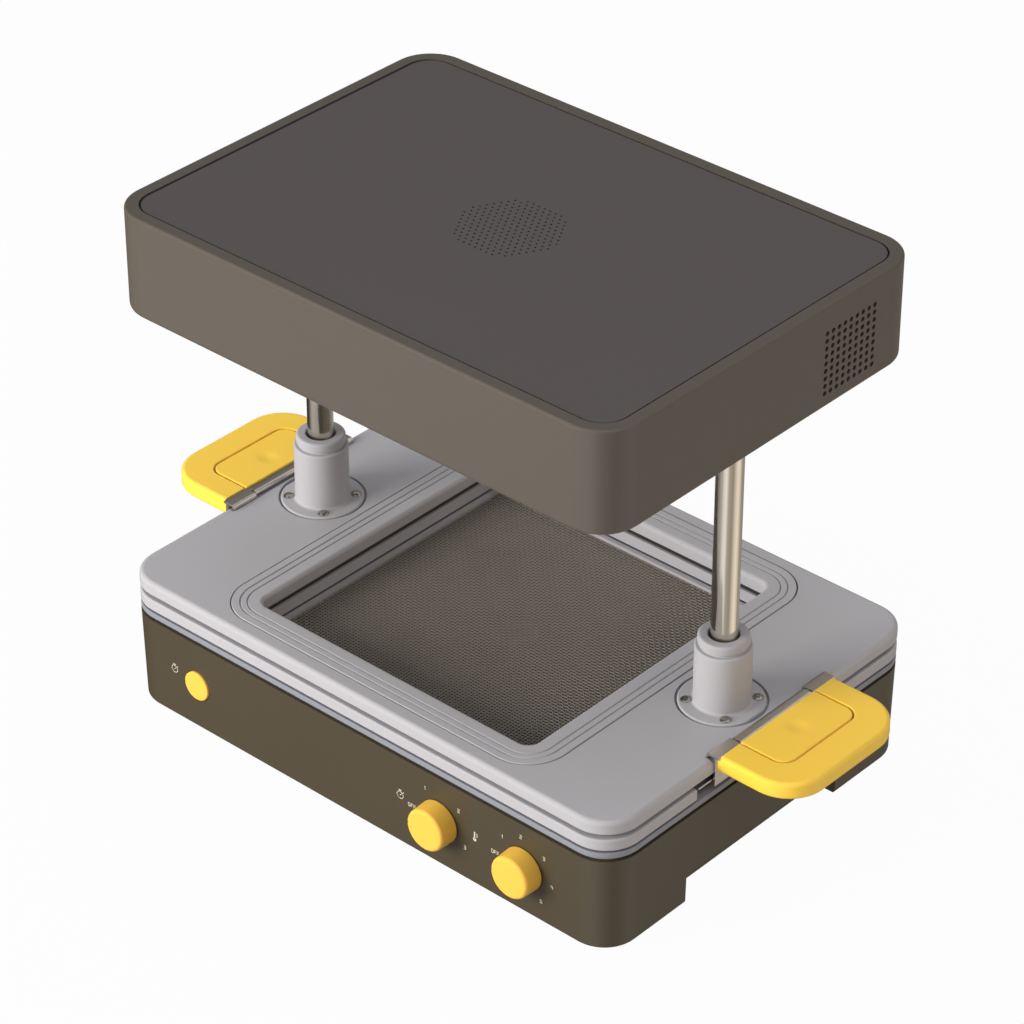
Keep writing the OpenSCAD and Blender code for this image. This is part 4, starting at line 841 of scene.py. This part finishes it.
knob_profile = with_round_corners([
    (0, knob_l, 0), (knob_r - 0.5, knob_l, 2.2), (knob_r, 0, 0.4), (recess_r, 0, 0.2),
    (recess_r, recess_depth, 0.2), (spindle_r, recess_depth, 0), (spindle_r, cap_inside, 0),
    (0, cap_inside, 0)], 8, closed=False)
for name in ("timer_knob", "heater_knob"):
    low, high = (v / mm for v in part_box(name))
    middle_x = (low.x + high.x) / 2
    rings = []
    for angle in knob_angles():
        near = max(0.0, 1 - ((angle - notch_angle) / notch_half) ** 2)
        ring = []
        for radius, along in knob_profile:
            reach = radius - notch_depth * near * near_edge(along - knob_l) * near_edge(radius - knob_r)
            ring.append((middle_x + reach * math.cos(angle), high.y - along,
                         control_z + reach * math.sin(angle)))
        rings.append(ring)
    points, faces = skin(rings)
    count = len(knob_profile)
    faces = [f for i, f in enumerate(faces) if i % count != count - 1]
    belongs(piece_from("dial_" + name, points, faces, knob_plastic, 40), name, "yellow_plastic", name)
dress(knob_plastic, "start_button")


# Dial marks
# Fine pale marks printed on the sloped front: plain dial numbers round each knob, a stopwatch beside
# the timer and the button, and a thermometer beside the heater. Each is a thin raised coat of ink.

ink_rise = 0.08
ink_root = 0.1
mark_ring = 20
icon_z = control_z + 3
bulb_r = 1.2
housing_low, housing_high = (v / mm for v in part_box("base_housing"))
front_draft = 1.0
front_top_y = tray_low.y


def on_front(x, up, out):
    """Place on the sloped front of the housing, a little out of it."""
    fall = (housing_high.z - up) / (housing_high.z - housing_low.z)
    return x, front_top_y + front_draft * fall - out, up


def printed(outlines):
    """Solids of ink from closed outlines of (across, up) points."""
    solids = []
    for outline in outlines:
        rings = [[on_front(x, up, out) for x, up in outline] for out in (-ink_root, ink_rise)]
        solids.append(skin(rings, closed=False, ends=True))
    return gathered(*solids)


def stroke(x0, up0, x1, up1, width=0.42):
    """Outline of one straight line of ink."""
    along = Vector((x1 - x0, up1 - up0)).normalized() * width / 2
    aside = Vector((-along.y, along.x))
    start = Vector((x0, up0)) - along
    end = Vector((x1, up1)) + along
    return [start - aside, end - aside, end + aside, start + aside]


def ring_strokes(x, up, radius, parts=14):
    """Short strokes round a circle."""
    turns = [math.tau * k / parts for k in range(parts + 1)]
    places = [(x + radius * math.cos(a), up + radius * math.sin(a)) for a in turns]
    return [stroke(*here, *there) for here, there in zip(places, places[1:])]


glyph_h = 2.2
glyph_w = 1.3
glyph_gap = 0.7
glyph_lines = {
    "1": [(0.3, 0.8, 0.6, 1), (0.6, 1, 0.6, 0)],
    "2": [(0, 1, 1, 1), (1, 1, 1, 0.5), (1, 0.5, 0, 0.5), (0, 0.5, 0, 0), (0, 0, 1, 0)],
    "3": [(0, 1, 1, 1), (1, 1, 1, 0), (0.2, 0.5, 1, 0.5), (0, 0, 1, 0)],
    "4": [(0, 1, 0, 0.45), (0, 0.45, 1, 0.45), (0.8, 1, 0.8, 0)],
    "5": [(1, 1, 0, 1), (0, 1, 0, 0.5), (0, 0.5, 1, 0.5), (1, 0.5, 1, 0), (1, 0, 0, 0)],
    "O": [(0, 0, 0, 1), (0, 1, 1, 1), (1, 1, 1, 0), (1, 0, 0, 0)],
    "F": [(0, 0, 0, 1), (0, 1, 1, 1), (0, 0.5, 0.8, 0.5)],
}


def words(text, x, up):
    """Strokes of a short mark, centred on a place."""
    pitch = glyph_w + glyph_gap
    left = x - (len(text) * pitch - glyph_gap) / 2
    lines = []
    for i, letter in enumerate(text):
        for x0, up0, x1, up1 in glyph_lines[letter]:
            lines.append(stroke(left + i * pitch + x0 * glyph_w, up + (up0 - 0.5) * glyph_h,
                                left + i * pitch + x1 * glyph_w, up + (up1 - 0.5) * glyph_h, 0.34))
    return lines


def stopwatch(x, up):
    """A dial ring with a crown and a hand."""
    return ring_strokes(x, up, 2.3) + [
        stroke(x - 0.7, up + 3.2, x + 0.7, up + 3.2, 0.6), stroke(x, up, x + 1, up + 1),
        stroke(x + 2.2, up + 2.2, x + 2.6, up + 2.6)]


def thermometer(x, up):
    """A bulb and a stem with three graduation marks."""
    turns = [math.tau * k / 16 for k in range(16)]
    bulb = [(x + bulb_r * math.cos(a), up - 2 + bulb_r * math.sin(a)) for a in turns]
    marks = [stroke(x + 1.3, up + k, x + 2.1, up + k, 0.35) for k in (0.2, 1.2, 2.2)]
    return [bulb, stroke(x, up - 1.6, x, up + 2.6, 0.9)] + marks


dials = (("timer_knob", (("OFF", 180), ("1", 120), ("2", 45), ("3", -25))),
         ("heater_knob", (("OFF", 180), ("1", 138), ("2", 95), ("3", 44), ("4", -7), ("5", -53))))
ink = stopwatch(31.5, icon_z) + stopwatch(-141.6, icon_z) + thermometer(85.4, icon_z)
for name, marks in dials:
    low, high = (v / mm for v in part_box(name))
    for text, angle_deg in marks:
        angle = math.radians(angle_deg)
        ink += words(text, (low.x + high.x) / 2 + mark_ring * math.cos(angle),
                     control_z + mark_ring * math.sin(angle))
ink_finish = coated("dial_ink", seen_as(206, 200, 186), 0.5, grain=0.3, relief=0.004, mottle=0.06)
belongs(piece_from("dial_marks", *printed(ink), ink_finish), "base", "tray_paint")


# Hood
# A folded and welded steel box with rounded corners, coated dark brown-grey, with a perforated vent in
# each side. A slightly sunk panel with a round perforated field lies in a groove in its top.

hood_paint = coated("hood_paint", seen_as(86, 80, 74), 0.36, grain=0.45, relief=0.008, mottle=0.04)
panel_paint = coated("panel_paint", seen_as(82, 77, 79), 0.4, grain=0.45, relief=0.008, mottle=0.04)
dress(hood_paint, "hood_shell", "hood_bottom_plate")
dress(panel_paint, "hood_top_panel")


# Heater
# A folded aluminium reflector over the window holds ceramic heater tubes in ceramic holders.

reflector_sheet = metal("reflector_aluminium", (0.82, 0.82, 0.83), 0.25, lines=(10, 400, 400), relief=0.01)
dress(reflector_sheet, "heater_reflector")
dress(coated("heater_ceramic", seen_as(222, 216, 202), 0.5, grain=1.2, relief=0.02, mottle=0.06),
      "heater_tubes", "heater_holders", "heater_terminal")


# Rear and inner fittings
# The hose port, duct, mains inlet, switch and rotary controls are black mouldings on and behind the
# housing; the control board is a green glass-fibre sheet screwed to bosses behind the front.

black_plastic = coated("black_plastic", seen_as(34, 33, 33), 0.45, grain=0.6, mottle=0.1)
dress(black_plastic, "suction_duct", "vacuum_port", "mains_inlet", "button_switch", "timer_control",
      "heater_control")
circuit_board = coated("circuit_board", seen_as(34, 92, 58), 0.35, grain=1.5, relief=0.01, mottle=0.2)
dress(circuit_board, "control_board")


# Floor and light
# A flat floor under a broad front light, with a weaker warm light from the right. The camera sees the
# floor as white with a faint shadow. Bare metal mirrors a plain surround: walls of light and dark bands
# by their bearing, in two tints, under a pale ceiling.

floor_half = 6
floor_drop = 0.5 * mm
floor_grey = 0.5
white_share = 0.97
ceiling_colour = (0.8, 0.77, 0.75, 1)
plain_tint = (1.0, 0.98, 0.96)
warm_tint = (1.04, 0.95, 0.84)
wall_bands = [
    (-180, 0.03, warm_tint), (-167, 0.06, warm_tint), (-149, 0.12, warm_tint), (-134, 0.33, plain_tint),
    (-108, 0.51, plain_tint), (-97, 0.8, plain_tint), (-75, 1.0, plain_tint), (-64, 0.74, plain_tint),
    (-54, 0.45, warm_tint), (-22, 0.34, warm_tint), (-11, 0.5, warm_tint), (0, 0.72, warm_tint),
    (24, 0.98, warm_tint), (37, 0.76, warm_tint), (53, 0.4, warm_tint), (95, 0.3, warm_tint),
    (140, 0.1, warm_tint), (168, 0.03, warm_tint)]


def for_camera(tree):
    """1 for rays from the camera, also through glass, and 0 for all others."""
    rays = node(tree, "ShaderNodeLightPath")
    return maths(tree, "MAXIMUM", rays.outputs["Is Camera Ray"], rays.outputs["Is Transmission Ray"])


def mixed(tree, share, first, second):
    """Shader between two others, by a share."""
    blend = node(tree, "ShaderNodeMixShader")
    feed(tree, blend.inputs, share, first, second)
    return blend.outputs[0]


def mapped(tree, value, **limits):
    """Value taken from one range to another; a limit that isn't named is 0 or 1."""
    made = node(tree, "ShaderNodeMapRange")
    tree.links.new(value, made.inputs["Value"])
    for label, limit in limits.items():
        made.inputs[label.replace("_", " ")].default_value = limit
    return made.outputs[0]


floor_mesh = bpy.data.meshes.new("floor")
floor_corners = [(x * floor_half, y * floor_half, -floor_drop)
                 for x, y in ((-1, -1), (1, -1), (1, 1), (-1, 1))]
floor_mesh.from_pydata(floor_corners, [], [(0, 1, 2, 3)])
floor = bpy.data.objects.new("floor", floor_mesh)
bpy.context.scene.collection.objects.link(floor)
floor.visible_glossy = False
floor_finish = bpy.data.materials.new("floor_white")
floor_finish.use_nodes = True
tree = floor_finish.node_tree
matt = tree.nodes["Principled BSDF"]
matt.inputs["Base Color"].default_value = (floor_grey, floor_grey, floor_grey, 1)
matt.inputs["Roughness"].default_value = 0.9
glow = node(tree, "ShaderNodeEmission")
glow_share = maths(tree, "MULTIPLY", for_camera(tree), white_share)
tree.links.new(mixed(tree, glow_share, matt.outputs[0], glow.outputs[0]),
               tree.nodes["Material Output"].inputs["Surface"])
floor_mesh.materials.append(floor_finish)
floor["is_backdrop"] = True

world = bpy.data.worlds.new("studio")
bpy.context.scene.world = world
world.use_nodes = True
tree = world.node_tree
around = node(tree, "ShaderNodeTexCoord")
split = node(tree, "ShaderNodeSeparateXYZ")
tree.links.new(around.outputs["Generated"], split.inputs[0])
upwards = split.outputs["Z"]
bearing = maths(tree, "ARCTAN2", split.outputs["Y"], split.outputs["X"])
walls = node(tree, "ShaderNodeValToRGB")
tree.links.new(maths(tree, "MULTIPLY_ADD", bearing, 1 / math.tau, 0.5), walls.inputs[0])
stops = walls.color_ramp.elements
while len(stops) > 1:
    stops.remove(stops[-1])
for k, (bearing_deg, light, tint) in enumerate(wall_bands):
    share = (bearing_deg + 180) / 360
    stop = stops[0] if k == 0 else stops.new(share)
    stop.position = share
    stop.color = (*(light * part for part in tint), 1)
ceiling = node(tree, "ShaderNodeMix", data_type="RGBA")
feed(tree, [ceiling.inputs[k] for k in (0, 6, 7)], mapped(tree, upwards, From_Min=0.57, From_Max=0.78),
     walls.outputs[0], ceiling_colour)
ambient = tree.nodes["Background"]
mirrored = node(tree, "ShaderNodeBackground")
background = node(tree, "ShaderNodeBackground")
feed(tree, ambient.inputs, mapped(tree, upwards, To_Min=0.3, To_Max=0.9), 1)
tree.links.new(ceiling.outputs[2], mirrored.inputs["Color"])
rays = node(tree, "ShaderNodeLightPath")
surround = mixed(tree, rays.outputs["Is Glossy Ray"], ambient.outputs[0], mirrored.outputs[0])
tree.links.new(mixed(tree, for_camera(tree), surround, background.outputs[0]),
               tree.nodes["World Output"].inputs["Surface"])


def lamp(name, place, target, size, power, colour):
    """Soft square lamp at a place, aimed at a target."""
    light = bpy.data.lights.new(name, "AREA")
    light.size = size
    light.energy = power
    light.color = colour
    made = bpy.data.objects.new(name, light)
    bpy.context.scene.collection.objects.link(made)
    made.location = place
    made.rotation_euler = (Vector(target) - Vector(place)).to_track_quat("-Z", "Y").to_euler()
    made.visible_glossy = False
    return made


lamp("front_light", (-1.0, -2.15, 0.75), (0, 0, 0.15), 1.4, 80, (1, 0.95, 0.88))
lamp("side_light", (2.0, 0.2, 0.6), (0, 0, 0.15), 1.2, 4.5, (1, 0.64, 0.26))


# Camera
# The photograph's own view, from a fit of the straight edges of the object.

camera_data = bpy.data.cameras.new("photo_camera")
camera = bpy.data.objects.new("photo_camera", camera_data)
bpy.context.scene.collection.objects.link(camera)
bpy.context.scene.camera = camera
camera_data.lens = 139.576
camera_data.sensor_width = 36
camera.location = (1.20428, -1.34542, 1.33326)
ahead = Vector((-0.556810, 0.621010, -0.551646))
right = Vector((0.744546, 0.667575, 0.0))
upward = Vector((-0.368265, 0.410726, 0.834079))
camera.rotation_mode = "QUATERNION"
camera.rotation_quaternion = Matrix((right, upward, -ahead)).transposed().to_quaternion()
bpy.context.scene.view_settings.view_transform = "Standard"

low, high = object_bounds()
